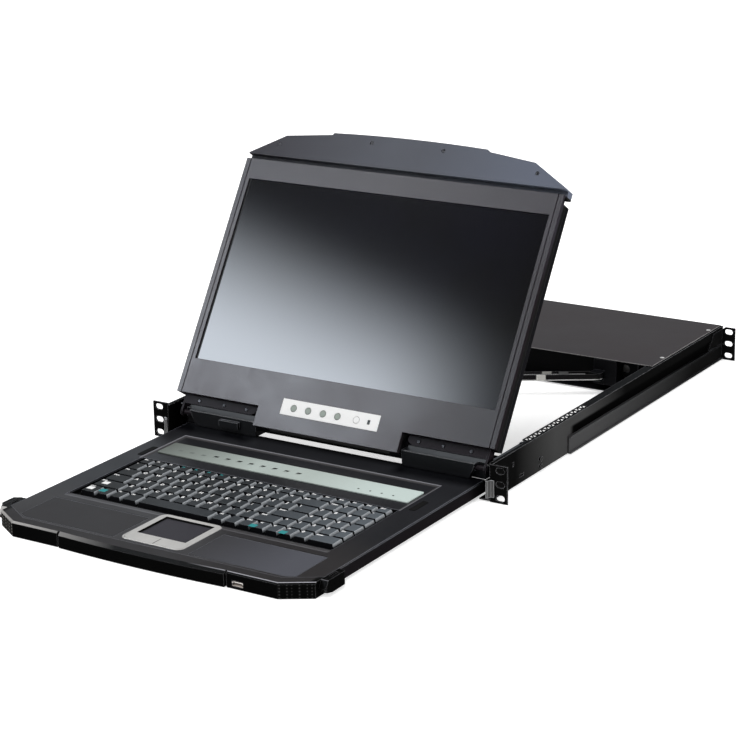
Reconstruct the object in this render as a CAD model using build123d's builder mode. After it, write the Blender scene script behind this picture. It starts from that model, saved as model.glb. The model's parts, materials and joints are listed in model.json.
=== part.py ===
from build123d import *
import os
from math import asin, atan, cos, degrees, radians, sin

os.makedirs("parts", exist_ok=True)

# Rackmount console drawer, 1U. X is to the right seen from the front, Y runs back
# into the rack and Z is up. The origin is the middle of the front bolt holes, on the
# front face of the ears. The drawer is drawn pulled out with its screen raised.

# Rack standard
ear_height = 43.6
hole_span = 465.1
ear_margin = 8.75
ear_width = hole_span + 2 * ear_margin
hole_pitch = 15.875
slot_length = 11.0
slot_height = 7.0
ear_sheet = 2.0

# Rails
rail_half_width = 221.0
rail_length = 617.0
rail_top = 20.9
rail_bottom = -21.0
rail_sheet = 1.5
rail_bottom_flange = 15.0
top_flange_wide = 11.5
top_flange_narrow = 4.5
top_flange_start = 92.0
stud_y = 113.0
stud_radius = 2.8
stud_height = 2.2
running_gap = 0.3
rail_inner = rail_half_width - rail_sheet

# Slides
travel = 300.0
slide_start = 25.0
slide_end = 600.0
slide_sheet = 1.3
slide_top = -5.0
slide_bottom = -19.0
slide_reach = 15.1
bead_reach = 13.0
bead_height = 6.4
bead_start = 30.0
inner_rear = 160.0
track_bottom = 15.0
track_height = 1.3
track_width = 2.1

# Keyboard module
deck_half_width = 203.0
deck_rear = 18.0
deck_top = -4.5
deck_sheet = 2.0
deck_bottom = -20.0
side_plate_sheet = 1.5
front_corner_y = -319.5
front_edge_x = 171.0
front_edge_y = -339.0
handle_half_width = 108.0
handle_bow = 4.6
handle_step = 1.2
groove_half = 1.3
groove_depth = 2.6
bumper_depth = 14.0
bumper_bottom = -21.8
bevel = 3.5
corner_bevel = 2.0
tray_wall = 1.5
tray_floor = 1.2

# Keyboard
well_margin = 5.0
well_rear = -106.0
well_front = -238.0
shelf_front = -248.0
shelf_depth = 1.5
plate_sheet = 1.0
plate_margin = 3.0
well_floor = -10.0
key_left = -170.0
key_right = 165.0
key_rear = -110.0
key_front = -228.0
key_gap = 1.4
key_top = -4.3
key_taper = 1.0

# Status strip, touch pad, palm insets and rest pads
deck_middle_x = -3.0
strip_half_width = 168.5
strip_rear = -49.0
strip_front = -85.0
recess_half_width = 175.0
recess_rear = -22.0
recess_slope = 4.5
recess_depth = 1.2
pad_frame_half = 40.0
pad_frame_rear = -240.5
pad_frame_front = -319.0
pad_half = 31.5
pad_rear = -247.0
pad_front = -298.5
pad_sunk = 1.4
palm_inner = 49.0
palm_outer = 178.0
palm_rear = -259.0
palm_front = -321.0
rest_pad_x = 182.5
rest_pad_width = 8.0
rest_pad_rear = -73.0
rest_pad_front = -104.0
rest_pad_rise = 0.3

# Hinge and screen
hinge_y = 15.3
hinge_z = 9.3
pin_radius = 3.0
pin_clearance = 0.06
housing_inner = 100.0
housing_outer = 204.8
housing_front = 10.5
housing_back = 30.0
housing_top = 15.0
housing_bottom = -3.9
screen_lean = 32.5
hinge_to_screen = 64.0
hinge_to_face = 11.4
screen_half_width = 216.8
screen_bottom = -67.0
cut_out_top = -43.0
cut_out_inner = 98.5
case_top = 256.0
case_back = -18.0
bezel_skirt = -10.0
bezel_back = -1.5
bezel_front = 1.5
active_half_width = 204.9
active_height = 230.4
case_wall = 2.0
handle_top = 299.4
handle_root = 263.8
handle_front = 1.5
handle_gap_front = -7.0
handle_step_x = 106.5
handle_edge_x = 170.2
handle_edge_v = 289.8

# Carriage
carriage_inner = 209.5
carriage_outer = 216.0
cross_bar_depth = 18.0
cross_bar_top = 14.0
arm_rear_y = 95.0
runner_sheet = 1.6
runner_strip = 3.7
runner_end = rail_length - 7.0 - travel
truss_pitch = 11.0
truss_count = 13
truss_border = 0.9

# Chassis
chassis_half_width = 199.5
chassis_front = 410.0
chassis_rear = 616.0
chassis_bottom = -20.5
chassis_sheet = 1.2
cover_sheet = 0.8
cover_half_width = 218.0
panel_recess = 20.0

# Cable arm
arm_pivot_x = 146.0
arm_rear_pivot_y = 402.0
arm_front_pivot_y = 64.0
arm_length = 330.0
arm_half_width = 7.0
arm_lower_z = -3.0
arm_tray_height = 7.5
arm_level_gap = 0.5
arm_sheet = 1.0
cable_radius = 2.8

# Derived places
lean = radians(screen_lean)
screen_up = (0, sin(lean), cos(lean))
screen_out = (0, -cos(lean), sin(lean))
hinge_n = -hinge_to_face
screen_origin_y = hinge_y + hinge_to_screen * sin(lean) - hinge_to_face * cos(lean)
screen_origin_z = hinge_z + hinge_to_screen * cos(lean) + hinge_to_face * sin(lean)
screen_plane = Plane(
    origin=(0, screen_origin_y, screen_origin_z), x_dir=(1, 0, 0), z_dir=screen_out
)
screen_axis = Axis((0, 0, 0), screen_out)
screen_up_axis = Axis((0, 0, 0), screen_up)
runner_bottom = track_bottom + track_height + running_gap
runner_top = runner_bottom + runner_sheet
cross_bar_rear = housing_back + cross_bar_depth
key_unit = (key_right - key_left) / 19
well_left = key_left - well_margin
well_right = key_right + well_margin
bumper_slope = (front_corner_y - front_edge_y) / (deck_half_width - front_edge_x)
bumper_shift = bumper_depth * (1 + bumper_slope**2) ** 0.5
inner_corner_y = front_corner_y + bumper_shift
inner_edge_y = front_edge_y + bumper_depth
inner_edge_x = front_edge_x - (bumper_shift - bumper_depth) / bumper_slope
arm_rest_angle = degrees(asin((arm_rear_pivot_y - arm_front_pivot_y) / 2 / arm_length))


def slab(points, plane, depth, mode=Mode.ADD):
    """A flat outline on a plane, made solid along the plane's normal."""
    with BuildSketch(plane) as outline:
        with BuildLine():
            Polyline(*points, close=True)
        make_face()
    extrude(outline.sketch, amount=depth, mode=mode)


def block(x, y, z, mode=Mode.ADD):
    """A plain block between two values along each axis."""
    with Locations((x[0], y[0], z[0])):
        Box(x[1] - x[0], y[1] - y[0], z[1] - z[0], align=(Align.MIN,) * 3, mode=mode)


def rod(radius, plane, depth, mode=Mode.ADD):
    """A round bar standing on a plane."""
    with BuildSketch(plane) as outline:
        Circle(radius)
    extrude(outline.sketch, amount=depth, mode=mode)


def mirrored(piece):
    """The left-hand twin of a right-hand piece."""
    with BuildPart() as twin:
        mirror(piece.part, about=Plane.YZ)
    return twin


def save(piece, name):
    """Name a finished piece and write its file."""
    piece.part.label = name
    export_step(piece.part, "parts/" + name + ".step")


def ear_slots(y, depth):
    """The three slotted bolt holes of one ear, cut along Y."""
    with BuildSketch(Plane.XZ.offset(-y)) as slots:
        with Locations((hole_span / 2, 0)):
            with GridLocations(1, hole_pitch, 1, 3):
                SlotOverall(slot_length, slot_height)
    extrude(slots.sketch, amount=-depth, mode=Mode.SUBTRACT)


# Rails: a folded web with its flanges, the ledge that carries the screen and the front ear
with BuildPart() as rail_right:
    slab(
        [
            (rail_half_width, rail_bottom),
            (rail_half_width, rail_top),
            (rail_half_width - top_flange_wide, rail_top),
            (rail_half_width - top_flange_wide, rail_top - rail_sheet),
            (rail_inner, rail_top - rail_sheet),
            (rail_inner, rail_bottom + rail_sheet),
            (rail_half_width - rail_bottom_flange, rail_bottom + rail_sheet),
            (rail_half_width - rail_bottom_flange, rail_bottom),
        ],
        Plane.XZ,
        -rail_length,
    )
    block(
        (rail_half_width - top_flange_wide - 1, rail_half_width - top_flange_narrow),
        (-1, top_flange_start),
        (rail_top - rail_sheet - 1, rail_top + 1),
        Mode.SUBTRACT,
    )
    block(
        (rail_inner - track_width, rail_inner + rail_sheet / 2),
        (slide_start, slide_end),
        (track_bottom, track_bottom + track_height),
    )
    with BuildSketch(Plane.XZ) as ear:
        with Locations(((rail_inner + ear_width / 2) / 2, 0)):
            Rectangle(ear_width / 2 - rail_inner, ear_height)
    extrude(ear.sketch, amount=-ear_sheet)
    ear_slots(0, ear_sheet)
    with BuildSketch(Plane.YZ.offset(rail_inner - 1)) as web_holes:
        with Locations((70, -12.5)):
            Rectangle(9, 3)
        with Locations((50, 6)):
            Rectangle(3, 5)
    extrude(web_holes.sketch, amount=rail_sheet + 2, mode=Mode.SUBTRACT)
    with BuildSketch(Plane.YZ.offset(rail_inner + rail_sheet / 2)) as studs:
        with Locations((stud_y, -6.5), (stud_y, -15)):
            Circle(stud_radius)
    extrude(studs.sketch, amount=rail_sheet / 2 + stud_height)
    slot_near = rail_half_width - top_flange_wide + truss_border
    slot_far = slot_near + 7.2
    truss_half = truss_pitch / 2 - truss_border
    for step in range(truss_count):
        start = top_flange_start + step * truss_pitch
        with BuildSketch(Plane.XY.offset(rail_top - rail_sheet - 1)) as truss:
            with BuildLine():
                Polyline(
                    (slot_near, start + truss_border),
                    (slot_far, start + truss_border),
                    (slot_near, start + 2 * truss_half),
                    close=True,
                )
            make_face()
            with BuildLine():
                Polyline(
                    (slot_far, start + 3 * truss_border),
                    (slot_far, start + 2 * truss_half + 2 * truss_border),
                    (slot_near, start + 2 * truss_half + 2 * truss_border),
                    close=True,
                )
            make_face()
        extrude(truss.sketch, amount=rail_sheet + 2, mode=Mode.SUBTRACT)
rail_left = mirrored(rail_right)
save(rail_right, "rail_right")
save(rail_left, "rail_left")

# Fixed channels of the keyboard slides
with BuildPart() as slide_outer_right:
    slab(
        [
            (rail_inner, slide_bottom),
            (rail_inner, slide_top),
            (rail_inner - slide_reach, slide_top),
            (rail_inner - slide_reach, slide_top - slide_sheet),
            (rail_inner - slide_sheet, slide_top - slide_sheet),
            (rail_inner - slide_sheet, slide_bottom + slide_sheet),
            (rail_inner - slide_reach, slide_bottom + slide_sheet),
            (rail_inner - slide_reach, slide_bottom),
        ],
        Plane.XZ.offset(-slide_start),
        -(slide_end - slide_start),
    )
slide_outer_left = mirrored(slide_outer_right)
save(slide_outer_right, "slide_outer_right")
save(slide_outer_left, "slide_outer_left")

# Moving members of the keyboard slides: a long side plate with a runner at its rear
plate_inner = deck_half_width - side_plate_sheet
plate_top = deck_top - deck_sheet - 0.2
plate_bottom = slide_bottom - 0.3
slide_middle = (slide_top + slide_bottom) / 2
with BuildPart() as keyboard_runner_right:
    block(
        (plate_inner, deck_half_width),
        (inner_corner_y + running_gap, inner_rear),
        (plate_bottom, plate_top),
    )
    slab(
        [
            (deck_half_width, slide_middle - bead_height / 2),
            (deck_half_width + bead_reach, slide_middle - bead_height / 2),
            (deck_half_width + bead_reach, slide_middle + bead_height / 2),
            (deck_half_width, slide_middle + bead_height / 2),
        ],
        Plane.XZ.offset(-bead_start),
        -(inner_rear - bead_start),
    )
    shoe_height = slide_top - slide_sheet - 0.1 - slide_middle - bead_height / 2
    shoe_x = deck_half_width + bead_reach / 2 + 1
    shoe_length = 24.0
    with BuildSketch(Plane.XY.offset(slide_middle)) as shoes:
        with Locations((shoe_x, (bead_start + inner_rear) / 2)):
            with GridLocations(1, inner_rear - bead_start - shoe_length - 8, 1, 2):
                Rectangle(7, shoe_length)
    extrude(shoes.sketch, amount=bead_height / 2 + shoe_height, both=True)
keyboard_runner_left = mirrored(keyboard_runner_right)
save(keyboard_runner_right, "keyboard_runner_right")
save(keyboard_runner_left, "keyboard_runner_left")

# Adjustable rear brackets on the outside of the rails
bracket_inner = rail_half_width + running_gap
bracket_front = 180.0
bracket_rear = 611.0
bracket_top = 0.0
bracket_ledge = 4.0
with BuildPart() as rear_bracket_right:
    slab(
        [
            (bracket_inner, rail_bottom),
            (bracket_inner, bracket_top),
            (bracket_inner + bracket_ledge, bracket_top),
            (bracket_inner + bracket_ledge, bracket_top - ear_sheet),
            (bracket_inner + ear_sheet, bracket_top - ear_sheet),
            (bracket_inner + ear_sheet, rail_bottom + ear_sheet),
            (bracket_inner + bracket_ledge, rail_bottom + ear_sheet),
            (bracket_inner + bracket_ledge, rail_bottom),
        ],
        Plane.XZ.offset(-bracket_front),
        -(bracket_rear - bracket_front),
    )
    slab(
        [
            (bracket_rear - 45, bracket_top - 1),
            (bracket_rear - 28, ear_height / 2 - 3),
            (bracket_rear, ear_height / 2 - 3),
            (bracket_rear, bracket_top - 1),
        ],
        Plane.YZ.offset(bracket_inner),
        ear_sheet,
    )
    with BuildSketch(Plane.XZ.offset(-bracket_rear)) as rear_ear:
        with BuildLine():
            Polyline(
                (bracket_inner, -ear_height / 2),
                (ear_width / 2, -ear_height / 2),
                (ear_width / 2, ear_height / 2),
                (bracket_inner + 6, ear_height / 2),
                (bracket_inner, ear_height / 2 - 5),
                close=True,
            )
        make_face()
    extrude(rear_ear.sketch, amount=ear_sheet)
    ear_slots(bracket_rear - ear_sheet, ear_sheet)
rear_bracket_left = mirrored(rear_bracket_right)
save(rear_bracket_right, "rear_bracket_right")
save(rear_bracket_left, "rear_bracket_left")

# Spring levers that release the slides, on the front of the ears
lever_sheet = 0.8
lever_foot_x = 225.2
lever_foot_y = -running_gap
lever_tip_x = 217.3
lever_tip_y = -5.0
lever_bottom = -16.0
lever_height = 20.0
with BuildPart() as release_lever_right:
    with BuildSketch(Plane.XY.offset(lever_bottom)) as lever:
        with BuildLine():
            Polyline(
                (lever_foot_x, lever_foot_y),
                (lever_foot_x - 4.3, lever_foot_y),
                (lever_foot_x - 6.3, lever_tip_y),
                (lever_tip_x, lever_tip_y),
                (lever_tip_x, lever_tip_y - lever_sheet),
                (lever_foot_x - 5.7, lever_tip_y - lever_sheet),
                (lever_foot_x - 3.7, lever_foot_y - lever_sheet),
                (lever_foot_x, lever_foot_y - lever_sheet),
                close=True,
            )
        make_face()
    extrude(lever.sketch, amount=lever_height)
save(release_lever_right, "release_lever_right")
release_lever_left = mirrored(release_lever_right)
save(release_lever_left, "release_lever_left")

# Chassis: a folded tray with its front panel and cover
with BuildPart() as chassis_base:
    block(
        (-chassis_half_width, chassis_half_width),
        (chassis_front, chassis_rear),
        (chassis_bottom, rail_top),
    )
    block(
        (-chassis_half_width + chassis_sheet, chassis_half_width - chassis_sheet),
        (chassis_front - 1, chassis_rear - chassis_sheet),
        (chassis_bottom + chassis_sheet, rail_top + 1),
        Mode.SUBTRACT,
    )
    for side in (-1, 1):
        wing = sorted((side * (chassis_half_width - 0.2), side * rail_inner))
        block(wing, (chassis_rear - chassis_sheet - 4, chassis_rear - 4), (-4.0, 14.0))
    port_count = 8
    port_pitch = 32.0
    port_row_x = -52.0
    port_width = 24.0
    port_height = 10.5
    port_z = -6.0
    rear_cut = Plane.XZ.offset(-(chassis_rear + 1))
    with BuildSketch(rear_cut) as rear_windows:
        with Locations((port_row_x, port_z)):
            with GridLocations(port_pitch, 1, port_count, 1):
                Rectangle(port_width, port_height)
        with Locations((port_row_x, port_z + 17)):
            with GridLocations(port_pitch, 1, 4, 1):
                Rectangle(14, 7)
        with Locations((150, -1)):
            Rectangle(27.6, 20.4)
        with Locations((112, -1)):
            Rectangle(13.4, 20.4)
    extrude(rear_windows.sketch, amount=4, mode=Mode.SUBTRACT)
    with BuildSketch(Plane.YZ.offset(-chassis_half_width - 1)) as side_vents:
        with Locations(((chassis_front + chassis_rear) / 2, 4)):
            with GridLocations(9, 1, 12, 1):
                Rectangle(3.2, 16)
    extrude(side_vents.sketch, amount=2 * chassis_half_width + 2, mode=Mode.SUBTRACT)
save(chassis_base, "chassis_base")

panel_y = chassis_front + panel_recess
with BuildPart() as chassis_front_panel:
    block(
        (-chassis_half_width + chassis_sheet, chassis_half_width - chassis_sheet),
        (panel_y, panel_y + chassis_sheet),
        (chassis_bottom + chassis_sheet, rail_top),
    )
    with BuildSketch(Plane.XZ.offset(-panel_y)) as cable_hole:
        with Locations((arm_pivot_x + 22, 6)):
            SlotOverall(20, 10)
    extrude(cable_hole.sketch, amount=-chassis_sheet, mode=Mode.SUBTRACT)
save(chassis_front_panel, "chassis_front_panel")

cover_screw_x = 213.5
cover_screw_rows = (448.0, 587.0)
with BuildPart() as chassis_cover:
    block(
        (-cover_half_width, cover_half_width),
        (chassis_front, chassis_rear),
        (rail_top, rail_top + cover_sheet),
    )
    with BuildSketch(Plane.XY.offset(rail_top)) as cover_holes:
        for row in cover_screw_rows:
            with Locations((cover_screw_x, row), (-cover_screw_x, row)):
                RegularPolygon(1.6, 6)
    extrude(cover_holes.sketch, amount=cover_sheet, mode=Mode.SUBTRACT)
save(chassis_cover, "chassis_cover")

with BuildPart() as cover_screws:
    for radius, low, height in ((1.45, 0, cover_sheet), (2.7, cover_sheet, 0.1)):
        with BuildSketch(Plane.XY.offset(rail_top + low)) as screw_section:
            for row in cover_screw_rows:
                with Locations((cover_screw_x, row), (-cover_screw_x, row)):
                    RegularPolygon(radius, 6)
        extrude(screw_section.sketch, amount=height)
save(cover_screws, "cover_screws")

board_lift = 4.0
board_sheet = 1.6
board_x = (-chassis_half_width + 9.5, 90.0)
board_y = (chassis_rear - 130, chassis_rear - 8)
board_z = chassis_bottom + chassis_sheet + board_lift
board_top = board_z + board_sheet
with BuildPart() as circuit_board:
    block(board_x, board_y, (board_z, board_top))
    for chip_x, chip_half in ((-102.0, 18.0), (-25.0, 15.0), (35.0, 15.0)):
        chip_y = board_y[0] + 46
        block(
            (chip_x - chip_half, chip_x + chip_half),
            (chip_y - chip_half, chip_y + chip_half),
            (board_top, board_top + 3),
        )
    for foot_x in (board_x[0] + 5, board_x[1] - 11):
        for foot_y in (board_y[0] + 6, board_y[1] - 11):
            block((foot_x, foot_x + 6), (foot_y, foot_y + 6), (board_z - board_lift, board_z))
save(circuit_board, "circuit_board")

supply_x = (96.0, 190.0)
supply_y = (440.0, chassis_rear - 42)
with BuildPart() as power_supply:
    block(supply_x, supply_y, (chassis_bottom + chassis_sheet, 12))
    with BuildSketch(Plane.XY.offset(12)) as supply_vents:
        with Locations(((supply_x[0] + supply_x[1]) / 2, (supply_y[0] + supply_y[1]) / 2)):
            with GridLocations(10, 1, 7, 1):
                Rectangle(4, 70)
    extrude(supply_vents.sketch, amount=-3, mode=Mode.SUBTRACT)
save(power_supply, "power_supply")

# Rear connectors: shells with their sockets open to the back
port_depth = 14.0
port_row_half = port_pitch * (port_count - 1) / 2 + port_width / 2 + 1
with BuildPart() as rear_connectors:
    with BuildSketch(Plane.XZ.offset(-(chassis_rear - port_depth))) as shells:
        with Locations((port_row_x, port_z)):
            with GridLocations(port_pitch, 1, port_count, 1):
                Rectangle(port_width - 0.4, port_height - 0.4)
        with Locations((port_row_x, port_z + 17)):
            with GridLocations(port_pitch, 1, 4, 1):
                Rectangle(13.6, 6.6)
    extrude(shells.sketch, amount=-(port_depth + 3))
    with BuildSketch(Plane.XZ.offset(-(chassis_rear - 6))) as sockets:
        with Locations((port_row_x, port_z)):
            with GridLocations(port_pitch, 1, port_count, 1):
                Rectangle(port_width - 2.4, port_height - 2.4)
        with Locations((port_row_x, port_z + 17)):
            with GridLocations(port_pitch, 1, 4, 1):
                Rectangle(12.2, 5.2)
    extrude(sockets.sketch, amount=-10, mode=Mode.SUBTRACT)
    row_x = (port_row_x - port_row_half, port_row_x + port_row_half)
    block(
        row_x,
        (chassis_rear - port_depth, chassis_rear - 8),
        (board_top, port_z - port_height / 2 + 0.3),
    )
    block(
        row_x,
        (chassis_rear - port_depth, chassis_rear - 8),
        (port_z - 1, port_z + 14),
    )
save(rear_connectors, "rear_connectors")

inlet_x = 150.0
inlet_z = -1.0
with BuildPart() as mains_inlet:
    with BuildSketch(Plane.XZ.offset(-(chassis_rear - 26))) as inlet_body:
        with Locations((inlet_x, inlet_z)):
            RectangleRounded(27.2, 20, 3)
    extrude(inlet_body.sketch, amount=-26)
    with BuildSketch(Plane.XZ.offset(-chassis_rear)) as inlet_flange:
        with Locations((inlet_x, inlet_z)):
            RectangleRounded(31, 24, 2)
    extrude(inlet_flange.sketch, amount=-2)
    with BuildSketch(Plane.XZ.offset(-(chassis_rear - 14))) as inlet_socket:
        with Locations((inlet_x, inlet_z)):
            RectangleRounded(24, 16.4, 3)
    extrude(inlet_socket.sketch, amount=-17, mode=Mode.SUBTRACT)
    with BuildSketch(Plane.XZ.offset(-(chassis_rear - 15))) as blades:
        with Locations((inlet_x - 7, inlet_z - 2), (inlet_x, inlet_z + 3), (inlet_x + 7, inlet_z - 2)):
            Rectangle(2, 4)
    extrude(blades.sketch, amount=-13)
save(mains_inlet, "mains_inlet")

rocker_x = 112.0
with BuildPart() as power_rocker:
    with BuildSketch(Plane.YZ.offset(rocker_x - 6)) as rocker_profile:
        with BuildLine():
            Polyline(
                (chassis_rear - 9, inlet_z - 8),
                (chassis_rear + 2.4, inlet_z - 8.6),
                (chassis_rear + 0.6, inlet_z),
                (chassis_rear + 0.6, inlet_z + 8.6),
                (chassis_rear - 9, inlet_z + 5.5),
                close=True,
            )
        make_face()
    extrude(rocker_profile.sketch, amount=12)
save(power_rocker, "power_rocker")

# Screen carriage: end arms, runners, cross bar, hinge housings and pins
with BuildPart() as carriage_right:
    block(
        (carriage_inner, carriage_outer),
        (housing_back, arm_rear_y),
        (housing_bottom, runner_bottom),
    )
    runner_outer = rail_inner - running_gap
    block((carriage_inner, runner_outer), (deck_rear, arm_rear_y), (runner_bottom, runner_top))
    block((runner_outer - runner_strip, runner_outer), (deck_rear, runner_end), (runner_bottom, runner_top))
    block(
        (carriage_inner, carriage_outer),
        (arm_rear_y - 10, arm_rear_y - 5),
        (runner_top, rail_top - rail_sheet - running_gap),
    )
    block(
        (carriage_inner, carriage_outer),
        (deck_rear, housing_back),
        (runner_bottom - 1.6, runner_bottom),
    )
carriage_left = mirrored(carriage_right)
save(carriage_right, "carriage_right")
save(carriage_left, "carriage_left")

with BuildPart() as cross_bar:
    slab(
        [
            (housing_back, housing_bottom),
            (cross_bar_rear, housing_bottom),
            (cross_bar_rear, cross_bar_top),
            (cross_bar_rear - 1.5, cross_bar_top),
            (cross_bar_rear - 1.5, housing_bottom + 1.5),
            (housing_back + 1.5, housing_bottom + 1.5),
            (housing_back + 1.5, cross_bar_top),
            (housing_back, cross_bar_top),
        ],
        Plane.YZ.offset(-carriage_inner),
        2 * carriage_inner,
    )
    fork_x = (arm_pivot_x - 8, arm_pivot_x + 8)
    fork_low = arm_lower_z + arm_tray_height + arm_level_gap - 1.8
    fork_high = fork_low + 1.2 + arm_tray_height + 1.2
    block(fork_x, (cross_bar_rear, arm_front_pivot_y + 5), (fork_low, fork_low + 1.2))
    block(fork_x, (cross_bar_rear, arm_front_pivot_y + 5), (fork_high, fork_high + 1.2))
    block(fork_x, (cross_bar_rear, cross_bar_rear + 1.5), (fork_low, fork_high + 1.2))
save(cross_bar, "cross_bar")

with BuildPart() as hinge_housing_right:
    with BuildSketch(Plane.YZ.offset(housing_inner)) as housing_profile:
        with BuildLine():
            Polyline(
                (housing_front + 0.6, housing_bottom),
                (housing_back, housing_bottom),
                (housing_back, housing_top - 3),
                (housing_back - 3, housing_top),
                (housing_front + 0.8, housing_top),
                (housing_front, housing_top - 0.8),
                close=True,
            )
        make_face()
        with Locations((hinge_y, hinge_z)):
            Circle(pin_radius + 0.02, mode=Mode.SUBTRACT)
    extrude(housing_profile.sketch, amount=housing_outer - housing_inner)
    slab(
        [
            (housing_outer - 9.5, housing_top + 1),
            (housing_outer + 1, housing_top + 1),
            (housing_outer + 1, housing_bottom - 1),
            (housing_outer - 18, housing_bottom - 1),
        ],
        Plane.XZ.offset(-housing_front + 1),
        -9,
        Mode.SUBTRACT,
    )
save(hinge_housing_right, "hinge_housing_right")

with BuildPart() as hinge_housing_left:
    mirror(hinge_housing_right.part, about=Plane.YZ)
    block((-150, -123), (housing_front - 4, housing_front + 0.5), (2, 10.5))
save(hinge_housing_left, "hinge_housing_left")

arm_plate_inner = housing_outer + 1.2
arm_plate_sheet = 2.4
knuckle_length = 14.0
with BuildPart() as hinge_pins:
    for side in (-1, 1):
        start = housing_inner - knuckle_length + 2
        end = arm_plate_inner + arm_plate_sheet + 0.6
        with Locations((side * (start + end) / 2, hinge_y, hinge_z)):
            Cylinder(pin_radius, end - start, rotation=(0, 90, 0))
save(hinge_pins, "hinge_pins")

# Screen module, drawn on the plane of the active area
def on_screen(n):
    """The screen's plane, moved towards the viewer by n."""
    return screen_plane.offset(n)


def case_outline(inset):
    """The outline of the screen case, smaller by inset all round."""
    x = screen_half_width - inset
    c = cut_out_inner - inset
    return [
        (-c, screen_bottom + inset),
        (c, screen_bottom + inset),
        (c, cut_out_top + inset),
        (x, cut_out_top + inset),
        (x, case_top - inset),
        (-x, case_top - inset),
        (-x, cut_out_top + inset),
        (-c, cut_out_top + inset),
    ]


def knuckle_place(side, x):
    """The end of a hinge knuckle, facing the middle of the screen."""
    return Plane(origin=(side * x, hinge_y, hinge_z), x_dir=(0, 1, 0), z_dir=(-side, 0, 0))


knuckle_radius = 5.6
notch_v = (246.0, 254.0)
notch_depth = 7.3
with BuildPart() as screen_back_cover:
    slab(case_outline(0), on_screen(case_back), bezel_skirt - case_back)
    slab(case_outline(case_wall), on_screen(case_back + case_wall), -case_back, Mode.SUBTRACT)
    for side in (-1, 1):
        knuckle_plane = knuckle_place(side, cut_out_inner)
        rod(knuckle_radius, knuckle_plane, knuckle_length)
        rod(pin_radius + pin_clearance, knuckle_plane, knuckle_length - 1, Mode.SUBTRACT)
        with BuildSketch(on_screen(case_back)) as notch:
            with Locations((side * screen_half_width, sum(notch_v) / 2)):
                Rectangle(2 * notch_depth, notch_v[1] - notch_v[0])
        extrude(notch.sketch, amount=-case_back, mode=Mode.SUBTRACT)
        with BuildSketch(on_screen(case_back)) as notch_walls:
            with Locations((side * (screen_half_width - notch_depth - 1), sum(notch_v) / 2)):
                Rectangle(case_wall, notch_v[1] - notch_v[0] + 2 * case_wall)
            for v in (notch_v[0] - case_wall / 2, notch_v[1] + case_wall / 2):
                with Locations((side * (screen_half_width - notch_depth / 2 - 1), v)):
                    Rectangle(notch_depth + 2, case_wall)
        extrude(notch_walls.sketch, amount=bezel_skirt - case_back)
    with BuildSketch(on_screen(case_back)) as rear_vents:
        with Locations((0, 190)):
            with GridLocations(14, 1, 20, 1):
                Rectangle(3, 30)
    extrude(rear_vents.sketch, amount=case_wall, mode=Mode.SUBTRACT)
save(screen_back_cover, "screen_back_cover")

plate_x = (-67.0, 66.0)
plate_v = (-48.2, -28.8)
plate_middle_v = sum(plate_v) / 2
button_x = (-50.0, -30.0, -9.6, 10.3)
button_v = -39.0
button_radius = 3.9
button_gap = 0.4
power_button_x = 35.9
light_x = 52.5
bezel_line_x = 209.8
bezel_line_width = 0.9
bezel_line_depth = 0.6
with BuildPart() as screen_bezel:
    slab(case_outline(0), on_screen(bezel_skirt), bezel_front - bezel_skirt)
    slab(case_outline(case_wall), on_screen(bezel_skirt), bezel_back - bezel_skirt, Mode.SUBTRACT)
    for side in (-1, 1):
        rod(
            knuckle_radius + running_gap,
            knuckle_place(side, cut_out_inner + 1),
            knuckle_length + 1 + running_gap,
            Mode.SUBTRACT,
        )
    with BuildSketch(on_screen(bezel_back)) as window:
        with Locations((0, active_height / 2)):
            Rectangle(2 * active_half_width, active_height)
    extrude(window.sketch, amount=bezel_front - bezel_back, mode=Mode.SUBTRACT)
    for side in (-1, 1):
        line_x = sorted((side * bezel_line_x, side * (bezel_line_x + bezel_line_width)))
        slab(
            [
                (line_x[0], cut_out_top - 1),
                (line_x[1], cut_out_top - 1),
                (line_x[1], case_top + 1),
                (line_x[0], case_top + 1),
            ],
            on_screen(bezel_front - bezel_line_depth),
            2,
            Mode.SUBTRACT,
        )
    with BuildSketch(on_screen(bezel_front - 0.8)) as plate_seat:
        with Locations((sum(plate_x) / 2, plate_middle_v)):
            Rectangle(plate_x[1] - plate_x[0], plate_v[1] - plate_v[0])
    extrude(plate_seat.sketch, amount=2, mode=Mode.SUBTRACT)
    with BuildSketch(on_screen(bezel_back)) as button_holes:
        with Locations(*[(x, button_v) for x in button_x + (power_button_x,)]):
            Circle(button_radius + button_gap)
        with Locations((light_x, button_v)):
            Rectangle(3.4, 5.4)
    extrude(button_holes.sketch, amount=bezel_front - bezel_back, mode=Mode.SUBTRACT)
    with BuildSketch(on_screen(bezel_skirt)) as skirt_notches:
        with Locations(*[(side * screen_half_width, sum(notch_v) / 2) for side in (-1, 1)]):
            Rectangle(2 * notch_depth, notch_v[1] - notch_v[0])
    extrude(skirt_notches.sketch, amount=bezel_back - bezel_skirt, mode=Mode.SUBTRACT)
save(screen_bezel, "screen_bezel")

with BuildPart() as osd_plate:
    with BuildSketch(on_screen(bezel_front - 0.8)) as plate_face:
        with Locations((sum(plate_x) / 2, plate_middle_v)):
            Rectangle(plate_x[1] - plate_x[0] - 0.2, plate_v[1] - plate_v[0] - 0.2)
        with Locations(*[(x, button_v) for x in button_x + (power_button_x,)]):
            Circle(button_radius + button_gap, mode=Mode.SUBTRACT)
        with Locations((light_x, button_v)):
            Rectangle(3.4, 5.4, mode=Mode.SUBTRACT)
    extrude(plate_face.sketch, amount=0.9)
save(osd_plate, "osd_plate")

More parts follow.
